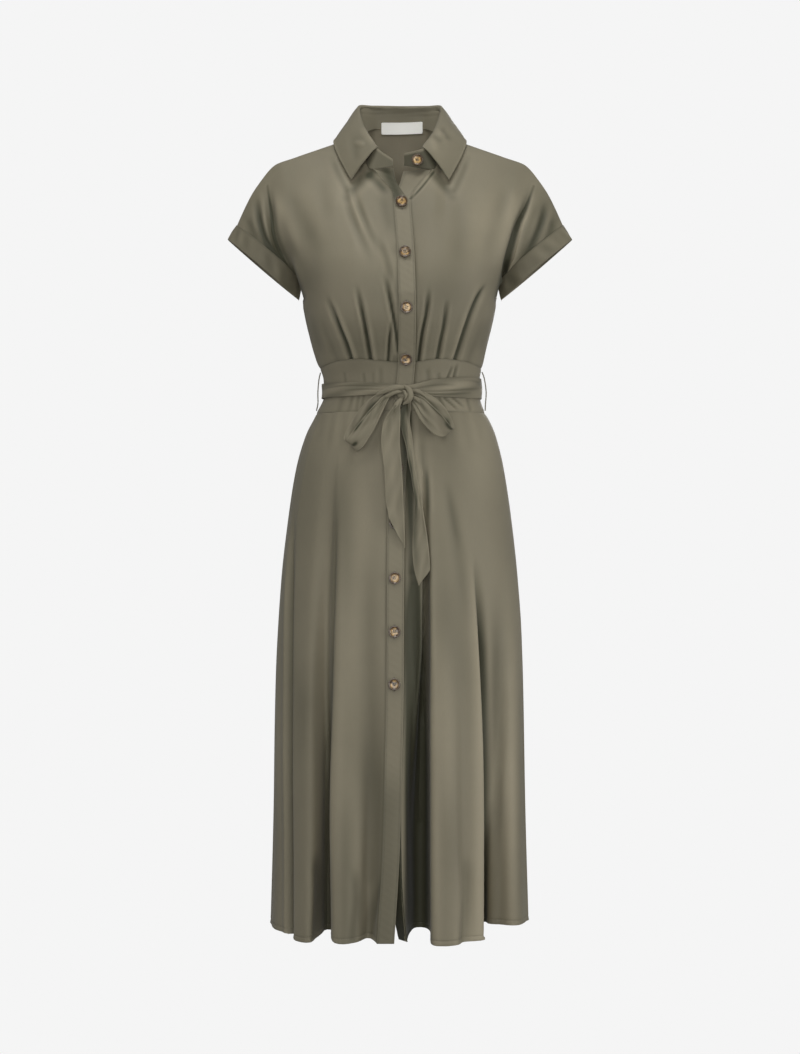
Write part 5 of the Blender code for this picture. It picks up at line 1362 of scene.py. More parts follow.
def collar_fall(material):
    """The turned-down collar, its points lying just clear of the fronts."""
    halves = zip(collar_half(-1), collar_half(1))
    roll, edge, out = (through_points(both_sides(right, left), 16) for right, left in halves)
    reach = ROLL_OUT + BAND_CLOTH
    rows = []
    for turned in np.linspace(0, 1, 6)[:-1]:
        bend = math.pi / 2 * turned
        step = out * (reach * (1 - math.cos(bend)) - reach)
        rows.append(roll + step - np.array([0, 0, (ROLL_UP + 0.0006) * (1 - math.sin(bend))]))
    for share in stations(0.052, 0.0018, (0.0004, 0.0009, 0.0015)):
        turn = ROLL_OUT * (1 - (1 - share) ** 6) + 0.004 * math.sin(math.pi * share)
        lift = 0.001 * math.sin(math.pi * min(1, share * 3))
        rows.append(roll + (edge - roll) * share + out * turn + np.array([0, 0, lift]))
    grid = np.array(rows)
    down = lengths_along(grid, 0)
    edges = np.minimum(from_sides(grid), down[-1] - down)
    height = ripple(grid[..., 0], grid[..., 2], 0.0003)
    height = height + folded(grid, COLLAR_FOLDS) * (grid[..., 1] < 0.02)
    height = height * smooth(edges / 0.008) + 0.0004 * smooth((0.004 - edges) / 0.0015)
    height = height - edge_roll(edges, 0.0010)
    # Painted shade over the whole collar, deeper in its folds and lighter on their ridges.
    painted_shading = 0.16 + 0.6 * shade_painted_from_height(height, 0.0022)
    return shell("collar_fall", raised(grid, height), BAND_CLOTH, material, painted_shading)


def neck_label(material):
    """A blank woven label inside the back of the stand, and the runs that sew down its ends."""
    width, height = LABEL_SIZE
    across = stations(width, 0.002, (0.0005, 0.0012)) * width - width / 2
    rows = []
    for down in stations(height, 0.0015, (0.0005, 0.0012)) * 2 - 1:
        corner = 0.0016 * np.clip((np.abs(down) - 0.86) / 0.14, 0, 1) ** 2
        x = across * (1 - corner / (width / 2))
        z = LABEL_CENTRE[1] - down * height / 2 + 0.022 * x
        y = 0.0625 - 5.0 * x**2 + 0.0004 * down
        rows.append(np.stack([LABEL_CENTRE[0] + x, y, z], axis=-1))
    grid = np.array(rows)
    along, sides = lengths_along(grid, 1), from_sides(grid)
    bulge = 0.0005 * np.sin(math.pi * along / width) - 0.0002 * near(sides - LABEL_STITCH, 0.0007)
    outer = raised(grid, bulge - edge_roll(np.minimum(sides, from_ends(grid)), 0.0004))
    piece = shell("neck_label", outer, 0.0007, material, slot="label_cream")
    normals = grid_normals(outer)
    ends = [np.argmin(np.abs(along[3] - place)) for place in (LABEL_STITCH, width - LABEL_STITCH)]
    return piece, [(outer[1:-1, column], normals[1:-1, column]) for column in ends]


# ---------------------------------------------------------------- sash

SashStop = namedtuple("SashStop", "bearing top bottom")
SASH = [
    SashStop(4, -0.3705, -0.3820),
    SashStop(-12, -0.3680, -0.3840),
    SashStop(-40, -0.3650, -0.3860),
    SashStop(-90, -0.3635, -0.3865),
    SashStop(-180, -0.3590, -0.3875),
    SashStop(-270, -0.3560, -0.3870),
    SashStop(-310, -0.3565, -0.3880),
    SashStop(-335, -0.3610, -0.3870),
    SashStop(-350, -0.3680, -0.3840),
    SashStop(-356, -0.3705, -0.3820),
]
SASH_OUT = 0.0032  # from the waistband to the outside of the sash
RIBBON_BULGE = 0.0012
RIBBON_FLUTTER = 0.0006

# Stops of a ribbon from the knot outwards, in millimetres: the middle (x, y, z), and half
# the width there as a vector (x, y, z) across it. A loop runs out and back.
LOOP_RIGHT = [
    (-14.5, -115, -383.6, 2.3, -0.4, -2.9),
    (-23.1, -119, -393, 4.6, -0.8, -2.6),
    (-34, -121.5, -408.9, 7.5, -1, -4),
    (-44.1, -122.5, -424.8, 9.5, -1, -5.5),
    (-54.9, -122.5, -440.7, 10.4, -0.6, -6.9),
    (-63.6, -120.5, -453, 9.8, 0.6, -8.1),
    (-70.1, -116.5, -458, 7.8, 2.4, -7.5),
    (-73.7, -112, -453, 6.7, 2.4, -6.7),
    (-70.1, -109, -440.7, 6.7, 1, -5.8),
    (-61.5, -108, -424, 6.4, 0.8, -4.9),
    (-49.2, -108, -406.7, 6.1, 0.8, -4.6),
    (-35.4, -109, -392.2, 5.2, 0.8, -4),
    (-17.4, -111, -379.9, 2.9, 0.8, -2.9),
]
LOOP_LEFT = [
    (15.9, -115, -387.2, 2.3, -0.4, 3.5),
    (26.8, -119.5, -396.6, 6.7, -1, 7.5),
    (36.9, -122, -409.6, 9.3, -1, 9),
    (49.2, -123, -423.3, 10.7, -1, 9.5),
    (59.3, -121.5, -434.2, 10.1, 0.4, 8.1),
    (67.2, -117.5, -439.2, 8.1, 1.4, 6.7),
    (72.3, -112.5, -437.8, 6.1, 2, 5.2),
    (71.6, -108.5, -430.6, 5.5, 1.6, 5.5),
    (63.6, -107, -416.8, 6.1, 1, 6.9),
    (49.9, -107.5, -400.2, 6.1, 1, 6.9),
    (34.7, -109, -387.2, 4.3, 1, 4.9),
    (18.8, -111, -379.2, 2.3, 0.8, 2.6),
]
TAIL_RIGHT = [
    (-0.5, -121.5, -395, 4, 0, 2),
    (-6, -124.5, -404, 6.5, 0, 2.4),
    (-10.5, -126.5, -418, 11.2, -1, 1.8),
    (-12.8, -127.5, -434, 13.1, -0.6, 0.8),
    (-13.7, -128.5, -457, 13.5, 0, 0),
    (-10.1, -131, -494.3, 13, 1, 0),
    (-7.8, -133, -539.1, 12.8, -1, 0),
    (-5.5, -134.5, -566, 12.2, 0, -12),
    (-4.2, -135, -586, 11.6, 1, -20.5),
]
TAIL_LEFT = [
    (8.5, -116.5, -398, 4.5, 0, 0),
    (6.5, -117.8, -415, 7.5, 2, 0),
    (8.5, -119.5, -434, 6.8, 5, 0),
    (15, -122, -470, 5.5, 6.5, 0),
    (21, -125, -505, 5.5, 5, 0),
    (25.8, -127.5, -535, 5, 3, 0),
    (28, -129.5, -559, 6.5, -2, 0),
    (28.5, -130.5, -582, 9.8, -1, 0),
    (29.5, -132, -608, 11.8, 0, 1),
    (31.8, -133, -633, 11.2, 0, 6),
    (35, -134, -650, 8.2, 0, 11),
]
# Lengthwise creases of a ribbon: place across it from -1 to 1 at its two ends, depth and
# half width, and the share of the ribbon's length where it fades out.
Crease = namedtuple("Crease", "start end depth width fade")
LOOP_CREASES = [
    Crease(-0.35, -0.70, 0.0016, 0.10, 0.42),
    Crease(0.30, 0.15, 0.0013, 0.12, 0.30),
    Crease(0.70, 0.80, -0.0008, 0.10, 0.45),
]
TAIL_CREASES = [
    Crease(-0.30, -0.55, 0.0012, 0.14, 0.35),
    Crease(0.35, 0.20, 0.0010, 0.12, 0.25),
    Crease(0.05, 0.10, -0.0005, 0.30, 1.00),
]
TWIST_CREASES = [
    Crease(-0.20, 0.30, 0.0012, 0.16, 0.60),
    Crease(0.45, 0.55, -0.0008, 0.16, 0.80),
]
# Shade inside a ribbon: share of its length, place across it from -1 to 1, their reach, and depth.
Shade = namedtuple("Shade", "share place length width depth")
RIGHT_LOOP_SHADES = [
    Shade(0.02, 0.0, 0.06, 2.0, 0.5),
    Shade(0.18, 0.2, 0.12, 0.25, 0.35),
    Shade(0.32, -0.3, 0.10, 0.20, 0.25),
    Shade(0.19, -0.88, 0.045, 0.11, 2.0),
    Shade(0.33, -0.88, 0.055, 0.11, 2.0),
    Shade(0.455, 0.10, 0.024, 0.22, 1.9),
    Shade(0.66, 0.6, 0.07, 0.50, 1.4),
    Shade(0.84, 0.6, 0.07, 0.55, 1.4),
    Shade(0.98, 0.0, 0.05, 2.0, 0.5),
]
LEFT_LOOP_SHADES = [
    Shade(0.02, 0.0, 0.06, 2.0, 0.5),
    Shade(0.18, 0.10, 0.14, 0.25, 0.40),
    Shade(0.30, -0.45, 0.12, 0.18, 0.25),
    Shade(0.24, 0.92, 0.15, 0.09, 1.2),
    Shade(0.43, 0.80, 0.055, 0.22, 2.0),
    Shade(0.58, -0.2, 0.05, 0.7, 1.6),
    Shade(0.74, -0.5, 0.14, 0.55, 1.2),
    Shade(0.98, 0.0, 0.05, 2.0, 0.5),
]
TAIL_SHADES = [
    Shade(0.06, 0.2, 0.08, 1.5, 0.45),
    Shade(0.18, -0.2, 0.10, 0.25, 0.30),
]
TWIST_SHADES = [
    Shade(0.02, 0.0, 0.06, 2.0, 0.9),
    Shade(0.10, -0.9, 0.10, 0.9, 1.2),
    Shade(0.35, -0.7, 0.22, 0.5, 0.9),
    Shade(0.60, -0.9, 0.22, 0.6, 0.8),
    Shade(0.84, -0.6, 0.12, 0.4, 0.45),
]
# Lengthwise creases of the sash itself: range of bearings, share of its height, depth.
BAND_CREASES = [
    (-14, -74, 0.34, 0.0009),
    (-8, -46, 0.62, 0.0008),
    (-96, -190, 0.55, 0.0007),
    (-205, -262, 0.38, 0.0008),
    (-286, -352, 0.60, 0.0013),
    (-300, -354, 0.78, 0.0014),
    (-318, -353, 0.44, 0.0009),
    (-276, -316, 0.25, 0.0006),
]


def sash_band(material):
    stops = np.array(SASH, float)
    bearings = np.linspace(SASH[0].bearing, SASH[-1].bearing, 341)[:-1]
    spans = curve_through(-stops[:, 0], stops[:, 1:], -bearings)
    shares = stations(0.026, 0.0015, (0.0003, 0.0008, 0.0014))[:, None]
    z = spans[:, 0] + (spans[:, 1] - spans[:, 0]) * shares
    grid = on_ring(bearings[None] + 0 * z, z)
    height = SASH_OUT + 0.0006 * np.sin(math.pi * shares)
    height = height + 0.0004 * np.sin(np.radians(bearings) * 7 + 6 * shares)
    for first, last, place, depth in BAND_CREASES:
        along = np.clip((bearings - first) / (last - first), 0, 1)
        line = place + 0.10 * np.sin(3 * along + depth * 4000)
        height = height - depth * np.sin(math.pi * along) ** 0.7 * near(shares - line, 0.055)
    # Painted shade in the sash's creases, lighter where it stands out.
    painted_shading = shade_painted_from_height(height - SASH_OUT - 0.0004, 0.0014)
    down = lengths_along(grid, 0)
    height = height - edge_roll(down, 0.0009) - edge_roll(down[-1] - down, 0.0009)
    outer = raised(grid, height, closed=True)
    return shell("sash_band", outer, SASH_CLOTH, material, painted_shading, closed=True)


def ribbon(node, stops, creases, shades, material):
    """A loop or tail of the bow along its stops, bulging a little between its edges."""
    table = through_points(MM * np.array(stops), 14)
    centre, half = table[:, :3], table[:, 3:]
    bow = unit(np.cross(half, np.gradient(centre, axis=0)))
    across = stations(0.026, 0.0016, (0.0003, 0.0008)) * 2 - 1
    along = run_of(centre)[:, None]
    share = along / along[-1]
    height = RIBBON_BULGE * (1 - across**2)[None] * (0.4 + 0.6 * smooth(share * 5))
    flutter = np.sin(2 * math.pi * (along / 0.045 + 0.3 * across) + 2.1 * across)
    height = height + RIBBON_FLUTTER * flutter
    for crease in creases:
        place = crease.start + (crease.end - crease.start) * share
        fade = smooth((crease.fade - share) / 0.25) if crease.fade < 1 else 1.0
        height = height - crease.depth * fade * near(across - place, crease.width)
    edge = (1 - np.abs(across))[None] * np.linalg.norm(half, axis=1)[:, None]
    # Painted shade in the creases, a painted highlight along the edges, and the painted shade of the
    # table's patches.
    painted_shading = 0.35 * shade_painted_from_height(height - RIBBON_BULGE * 0.7, 0.0022) - 0.30 * near(edge, 0.0010)
    for shade in shades:
        beside = near(share - shade.share, shade.length) * near(across - shade.place, shade.width)
        painted_shading = painted_shading + shade.depth * beside
    height = height - edge_roll(edge, 0.0008)
    outer = centre[:, None] + half[:, None] * across[None, :, None] + bow[:, None] * height[..., None]
    return shell(node, outer, SASH_CLOTH, material, painted_shading, inside=None)


# Strands of the knot, in millimetres: points of the path (x, y, z), half the width of the
# strand at each of them, and half its thickness.
Strand = namedtuple("Strand", "path widths thick")
KNOT_STRANDS = [
    Strand(  # the core under the wraps
        [(-5.8, -113, -381.4), (1.4, -115, -384.3), (10.1, -115, -387.2), (18.8, -113, -385.7)],
        [4.6, 7.8, 7.8, 4.3],
        4.6,
    ),
    Strand(  # the wrap over the top, which runs into the wearer's right loop
        [
            (-33.3, -115, -385), (-20.2, -119, -379.2), (-5.8, -121.5, -374.9),
            (5.8, -120.5, -374.9), (13, -116.5, -379.2),
        ],
        [3.8, 4, 3.8, 3.5, 2.6],
        2.6,
    ),
    Strand(  # the fold under it
        [
            (-24.6, -116.5, -390.8), (-14.5, -119.5, -385), (-4.3, -121.5, -381.1),
            (5.8, -119, -382.1),
        ],
        [3.2, 3.2, 2.9, 2],
        2.2,
    ),
    Strand(  # the wrap that comes down the front of the knot
        [
            (2.9, -117.5, -372), (10.8, -122.5, -375.6), (15.2, -124, -383.6),
            (13.7, -123.5, -392.2), (4.3, -120, -399.5),
        ],
        [2.6, 3.8, 4.2, 4, 2.9],
        3,
    ),
    Strand(  # its inner fold
        [(2.2, -119, -377.8), (7.2, -122.8, -382.1), (9, -123.4, -388.6), (5.5, -120.5, -394.4)],
        [1.7, 2.5, 2.5, 1.7],
        2.4,
    ),
    Strand(  # the start of the wearer's left loop
        [(13, -115, -381.4), (21, -118.5, -379.2), (28.9, -119, -382.1), (37.6, -116.5, -389.3)],
        [2.3, 2.9, 2.9, 1.7],
        2,
    ),
    Strand(  # the fold under it
        [(14.5, -116, -390.1), (21.7, -119, -390.1), (28.9, -120, -395.9), (34.7, -119, -403.8)],
        [2.3, 2.9, 2.6, 1.4],
        1.8,
    ),
    Strand(  # the front tail leaving the knot
        [(5.8, -117, -387.2), (0, -121.5, -394.4), (-5.1, -123.5, -402.4), (-9.4, -123.8, -411.8)],
        [2.6, 3.8, 4.6, 2.9],
        2.2,
    ),
]


def sash_knot(material):
    """The tied knot, made of the strands of sash that wrap round each other."""
    turn = np.linspace(0, 2 * math.pi, 20, endpoint=False)
    rings, uv = [], []
    for number, strand in enumerate(KNOT_STRANDS):
        path = through_points(MM * np.array(strand.path), 8)
        width = through_points(MM * np.array(strand.widths)[:, None], 8)[:, 0]
        ahead = unit(np.gradient(path, axis=0))
        side = unit(np.cross(ahead, (0, -1, 0)))
        out = unit(np.cross(side, ahead))
        along = run_of(path)[:, None]
        swell = np.sin(math.pi * np.clip(along[:, 0] / along[-1] * 0.92 + 0.04, 0, 1)) ** 0.4
        groove = 1 - 0.16 * near(turn - 1.30 - 0.5 * np.sin(along * 260 + number), 0.20)
        groove = groove - 0.10 * near(turn - 2.00 + 0.3 * np.sin(along * 300), 0.16)
        wide = (width * swell)[:, None] * np.cos(turn) * groove
        thick = (MM * strand.thick * swell)[:, None] * np.sin(turn) * groove
        rings.append(path[:, None] + side[:, None] * wide[..., None] + out[:, None] * thick[..., None])
        uv.append(np.stack(np.broadcast_arrays(turn * 0.005, along), axis=-1).reshape(-1, 2))
    points, faces = tubes(rings)
    uv = np.concatenate(uv)
    return add_piece("sash_knot_cloth", points, faces, uv, material, "cloth_olive", ("sash_knot",))


# ---------------------------------------------------------------- thread carriers

CARRIERS = {  # path of each thread carrier on the outside of the sash, (bearing, out, z)
    "belt_carrier_right": [
        (-88, 0.0022, -0.347),
        (-90, 0.0074, -0.358),
        (-92, 0.0098, -0.376),
        (-92, 0.0064, -0.392),
        (-91, 0.0022, -0.4035),
    ],
    "belt_carrier_left": [
        (86, 0.0022, -0.346),
        (86, 0.0074, -0.357),
        (88, 0.0100, -0.376),
        (88, 0.0066, -0.393),
        (87, 0.0022, -0.4035),
    ],
}
PLY_RADIUS = 0.00058
PLY_PITCH = 0.0042


def carriers(material):
    """Thread loops that hold the sash at the side seams, of two threads twisted together."""
    made = []
    turn = np.linspace(0, 2 * math.pi, 8, endpoint=False)[:, None]
    for node, stops in CARRIERS.items():
        knots = []
        for bearing, out, z in stops:
            point = on_ring(bearing, z)
            point[0] += math.copysign(out, point[0])
            knots.append(point)
        path = through_points(np.array(knots), 30)
        ahead = unit(np.gradient(path, axis=0))
        side = unit(np.cross(ahead, (0, 1, 0)))
        out = np.cross(ahead, side)
        rings = []
        for ply in (0, math.pi):
            angle = (2 * math.pi * run_of(path) / PLY_PITCH + ply)[:, None]
            centre = path + PLY_RADIUS * 0.8 * (side * np.cos(angle) + out * np.sin(angle))
            spokes = side[:, None] * np.cos(turn) + out[:, None] * np.sin(turn)
            rings.append(centre[:, None] + PLY_RADIUS * spokes)
        points, (walls, caps) = tubes(rings)
        faces = [walls[:, [0, 3, 2, 1]], caps[:, ::-1]]  # these rings turn the other way
        uv, name = points[:, [0, 2]], node + "_thread"
        obj = add_piece(name, points, faces, uv, material, "thread_olive", (node,), crease=180)
        made.append((obj, path))
    return made


# ---------------------------------------------------------------- buttons

BUTTON_RADIUS = 0.0087
BUTTON_THICK = 0.0032
HOLE_OUT = 0.0017  # from the button's centre to each hole
HOLE_RADIUS = 0.00085


def select_faces(mesh, test):
    """Leaves selected exactly the faces whose centre and normal pass the test."""
    for item in (*mesh.vertices, *mesh.edges):
        item.select = False
    for face in mesh.polygons:
        face.select = bool(test(face.center, face.normal))


def on_faces(obj, test, *steps):
    """Runs edit-mode steps on the faces that pass the test."""
    select_faces(obj.data, test)
    bpy.ops.object.mode_set(mode="EDIT")
    bpy.ops.mesh.select_mode(type="FACE")
    for step in steps:
        step()
    bpy.ops.object.mode_set(mode="OBJECT")


def is_top(centre, normal):
    return normal.z > 0.9 and centre.xy.length < 0.0005


def button_blank():
    """A turned button with a raised rim, a dished well and four holes, facing +Z."""
    bpy.ops.object.select_all(action="DESELECT")
    bpy.ops.mesh.primitive_cylinder_add(
        vertices=40, radius=BUTTON_RADIUS, depth=BUTTON_THICK, location=(0, 0, BUTTON_THICK / 2)
    )
    obj = bpy.context.object
    bpy.ops.object.transform_apply(location=True, rotation=True, scale=True)
    on_faces(
        obj,
        lambda centre, normal: normal.z < -0.9,
        lambda: bpy.ops.mesh.inset(thickness=0.0016),
    )
    on_faces(
        obj,
        is_top,
        lambda: bpy.ops.mesh.inset(thickness=0.0017),
        lambda: bpy.ops.mesh.inset(thickness=0.0012),
        lambda: bpy.ops.transform.translate(value=(0, 0, -0.0010)),
        lambda: bpy.ops.mesh.inset(thickness=0.0022),
        lambda: bpy.ops.transform.translate(value=(0, 0, -0.0002)),
    )
    bevel = obj.modifiers.new("turned_edges", "BEVEL")
    bevel.width = 0.00055
    bevel.segments = 3
    bevel.angle_limit = math.radians(25)
    cutters = []
    for i in range(4):
        angle = math.pi * (i + 0.5) / 2
        bpy.ops.mesh.primitive_cylinder_add(
            vertices=14,
            radius=HOLE_RADIUS,
            depth=0.006,
            location=(HOLE_OUT * math.cos(angle), HOLE_OUT * math.sin(angle), 0.001),
        )
        cutters.append(bpy.context.object)
    for cutter in cutters:
        cutter.select_set(True)
    bpy.context.view_layer.objects.active = cutters[0]
    bpy.ops.object.join()
    cutter = bpy.context.object
    cut = obj.modifiers.new("thread_holes", "BOOLEAN")
    cut.operation = "DIFFERENCE"
    cut.solver = "EXACT"
    cut.object = cutter
    bpy.ops.object.select_all(action="DESELECT")
    obj.select_set(True)
    bpy.context.view_layer.objects.active = obj
    bpy.ops.object.convert(target="MESH")
    bpy.data.objects.remove(cutter, do_unlink=True)
    return obj


def button_thread(matrix):
    """Two bars of thread through the holes of a button, as stitch runs in the row frame."""
    runs = []
    up = matrix.to_3x3() @ Vector((0, 0, 1))
    for y in (-HOLE_OUT, HOLE_OUT):
        for off in (-0.00022, 0.00022):
            places = [Vector((x, y * 0.707 + off, 0.00215)) for x in (-HOLE_OUT, 0, HOLE_OUT)]
            line = np.array([matrix @ place for place in places])
            runs.append((line, np.array([up] * 3), (0.0033, 0.0032, 0.00042)))
    return runs


def buttons(material, thread, line):
    """Ten buttons down the front band and one on the stand, each turned its own way."""
    blank = button_blank()
    places, runs = [], []
    for number, z in enumerate(BUTTON_HEIGHTS, 1):
        above, centre, below = (at_height(line, z + step) for step in (0.008, 0, -0.008))
        normal = Vector((1, 0, 0)).cross(Vector(above - below)).normalized()
        sag = max(0.0, float(((above + below) / 2 - centre) @ np.array(normal)))
        lean = (normal + Vector((0.05 * math.sin(2.3 * number), -1.2, 0.05))).normalized()
        rise = 0.0004 + sag + BUTTON_RADIUS * math.sqrt(max(0.0, 1 - lean.dot(normal) ** 2))
        places.append((f"button_{number:02d}", Vector(centre) + normal * rise, lean, 0.9 * number))
    places.append(("button_collar", Vector(COLLAR_BUTTON), Vector((-0.12, -1, 0.10)), 0.4))
    for node, centre, normal, spin in places:
        matrix = upright(centre, (1, 0, 0), normal) @ Matrix.Rotation(spin, 4, "Z")
        mesh = blank.data.copy()
        layer = mesh.uv_layers.new(name="Cut") if not mesh.uv_layers else mesh.uv_layers[0]
        layer.name = "Cut"
        for loop in mesh.loops:
            co = mesh.vertices[loop.vertex_index].co
            layer.data[loop.index].uv = (co.x, co.y)
        mesh.transform(matrix)
        mesh.materials.clear()
        mesh.materials.append(material)
        mesh.shade_smooth()
        mesh.set_sharp_from_angle(angle=math.radians(40))
        obj = bpy.data.objects.new(node + "_horn", mesh)
        bpy.context.scene.collection.objects.link(obj)
        PIECES.append(Piece(obj, "button_horn", (node,)))
        runs += button_thread(matrix)
    bpy.data.objects.remove(blank, do_unlink=True)
    stitches("button_threads", runs, thread)


# ---------------------------------------------------------------- materials


def shader_group(name, inputs, outputs):
    """An empty node group with named sockets, and its input and output nodes."""
    group = bpy.data.node_groups.new(name, "ShaderNodeTree")
    for label, kind, value in inputs:
        socket = group.interface.new_socket(name=label, in_out="INPUT", socket_type=kind)
        if value is not None:
            socket.default_value = value
    for label, kind in outputs:
        group.interface.new_socket(name=label, in_out="OUTPUT", socket_type=kind)
    return group, group.nodes.new("NodeGroupInput"), group.nodes.new("NodeGroupOutput")


def math_node(tree, operation, *values):
    node = tree.nodes.new("ShaderNodeMath")
    node.operation = operation
    for socket, value in zip(node.inputs, values):
        if isinstance(value, (int, float)):
            socket.default_value = value
        else:
            tree.links.new(value, socket)
    return node.outputs[0]


def noise_node(tree, vector, scale, detail=2.0, roughness=0.5, distortion=0.0):
    node = tree.nodes.new("ShaderNodeTexNoise")
    node.inputs["Scale"].default_value = scale
    node.inputs["Detail"].default_value = detail
    node.inputs["Roughness"].default_value = roughness
    node.inputs["Distortion"].default_value = distortion
    tree.links.new(vector, node.inputs["Vector"])
    return node


def mix_colours(tree, share, first, second, clamped=True):
    node = tree.nodes.new("ShaderNodeMix")
    node.data_type = "RGBA"
    node.clamp_factor = clamped
    tree.links.new(share, node.inputs[0])
    for value, socket in ((first, node.inputs[6]), (second, node.inputs[7])):
        if isinstance(value, tuple):
            socket.default_value = (*value, 1)
        else:
            tree.links.new(value, socket)
    return node.outputs[2]


def weave_group():
    """Plain weave over a cut piece: height of the threads, and an uneven tone."""
    group, start, end = shader_group(
        "plain_weave",
        [
            ("Cut", "NodeSocketVector", None),
            ("Thread Spacing", "NodeSocketFloat", 0.0005),
            ("Unevenness", "NodeSocketFloat", 0.5),
        ],
        [("Height", "NodeSocketFloat"), ("Tone", "NodeSocketFloat")],
    )
    split = group.nodes.new("ShaderNodeSeparateXYZ")
    group.links.new(start.outputs["Cut"], split.inputs[0])
    waves = []
    for axis in (0, 1):
        cycles = math_node(group, "DIVIDE", split.outputs[axis], start.outputs["Thread Spacing"])
        waves.append(math_node(group, "SINE", math_node(group, "MULTIPLY", cycles, math.pi)))
    crossing = math_node(group, "MULTIPLY", *waves)
    slub = noise_node(group, start.outputs["Cut"], 420.0, 3.0, 0.6)
    stretch = group.nodes.new("ShaderNodeMapping")
    stretch.inputs["Scale"].default_value = (900, 60, 1)
    group.links.new(start.outputs["Cut"], stretch.inputs["Vector"])
    threads = noise_node(group, stretch.outputs[0], 1.0, 2.0, 0.5)
    slubs = math_node(group, "SUBTRACT", slub.outputs[0], 0.5)
    uneven = math_node(group, "MULTIPLY", slubs, start.outputs["Unevenness"])
    raised_by = math_node(group, "MULTIPLY", uneven, 1.6)
    height = math_node(group, "ADD", math_node(group, "MULTIPLY", crossing, 0.5), raised_by)
    tone = math_node(group, "ADD", uneven, math_node(group, "SUBTRACT", threads.outputs[0], 0.5))
    group.links.new(height, end.inputs["Height"])
    group.links.new(tone, end.inputs["Tone"])
    return group


def mottle_group():
    """Broad soft unevenness of dye and handling, from -0.5 to 0.5."""
    group, start, end = shader_group(
        "soft_mottle",
        [("Vector", "NodeSocketVector", None), ("Scale", "NodeSocketFloat", 1.0)],
        [("Broad", "NodeSocketFloat"), ("Fine", "NodeSocketFloat")],
    )
    for label, scale, detail in (("Broad", 7.0, 2.0), ("Fine", 38.0, 3.0)):
        node = noise_node(group, start.outputs["Vector"], scale, detail, 0.55)
        scaled = math_node(group, "MULTIPLY", start.outputs["Scale"], scale)
        group.links.new(scaled, node.inputs["Scale"])
        group.links.new(math_node(group, "SUBTRACT", node.outputs[0], 0.5), end.inputs[label])
    return group


def marble_group():
    """Streaks and clouds of horn, from 0 where it is dark to 1 where it is pale."""
    group, start, end = shader_group(
        "horn_marble",
        [("Vector", "NodeSocketVector", None), ("Scale", "NodeSocketFloat", 1.0)],
        [("Pale", "NodeSocketFloat"), ("Grain", "NodeSocketFloat")],
    )
    clouds = noise_node(group, start.outputs["Vector"], 120.0, 4.0, 0.55, 1.4)
    group.links.new(math_node(group, "MULTIPLY", start.outputs["Scale"], 120.0), clouds.inputs["Scale"])
    grain = noise_node(group, start.outputs["Vector"], 520.0, 3.0, 0.6, 0.6)
    pale = group.nodes.new("ShaderNodeMapRange")
    pale.inputs["From Min"].default_value = 0.40
    pale.inputs["From Max"].default_value = 0.62
    group.links.new(clouds.outputs[0], pale.inputs["Value"])
    group.links.new(pale.outputs[0], end.inputs["Pale"])
    group.links.new(grain.outputs[0], end.inputs["Grain"])
    return group


def material_base(name, roughness, sheen=0.0, coat=0.0, specular=0.5):
    material = bpy.data.materials.new(name)
    material.use_nodes = True
    tree = material.node_tree
    shader = tree.nodes["Principled BSDF"]
    shader.inputs["Roughness"].default_value = roughness
    shader.inputs["Sheen Weight"].default_value = sheen
    shader.inputs["Sheen Roughness"].default_value = 0.45
    shader.inputs["Coat Weight"].default_value = coat
    shader.inputs["Coat Roughness"].default_value = 0.12
    shader.inputs["Specular IOR Level"].default_value = specular
    return material, tree, shader


def place_group(tree, group, **inputs):
    node = tree.nodes.new("ShaderNodeGroup")
    node.node_tree = group
    for label, value in inputs.items():
        socket = node.inputs[label.replace("_", " ")]
        if isinstance(value, (int, float)):
            socket.default_value = value
        else:
            tree.links.new(value, socket)
    return node


# spacing: between the threads, in metres. bump: how strongly they show.
Woven = namedtuple("Woven", "name dark light roughness spacing bump sheen specular")
MAIN_CLOTH = Woven(
    "olive_viscose", (0.180, 0.160, 0.109), (0.224, 0.201, 0.139), 0.62, 0.00045, 0.35, 0.08, 0.30
)
THREAD = Woven(
    "olive_thread", (0.165, 0.150, 0.108), (0.235, 0.214, 0.160), 0.55, 0.00030, 0.30, 0.10, 0.35
)
LABEL_CLOTH = Woven(
    "cream_satin", (0.90, 0.89, 0.82), (0.96, 0.95, 0.90), 0.45, 0.00040, 0.25, 0.10, 0.40
)


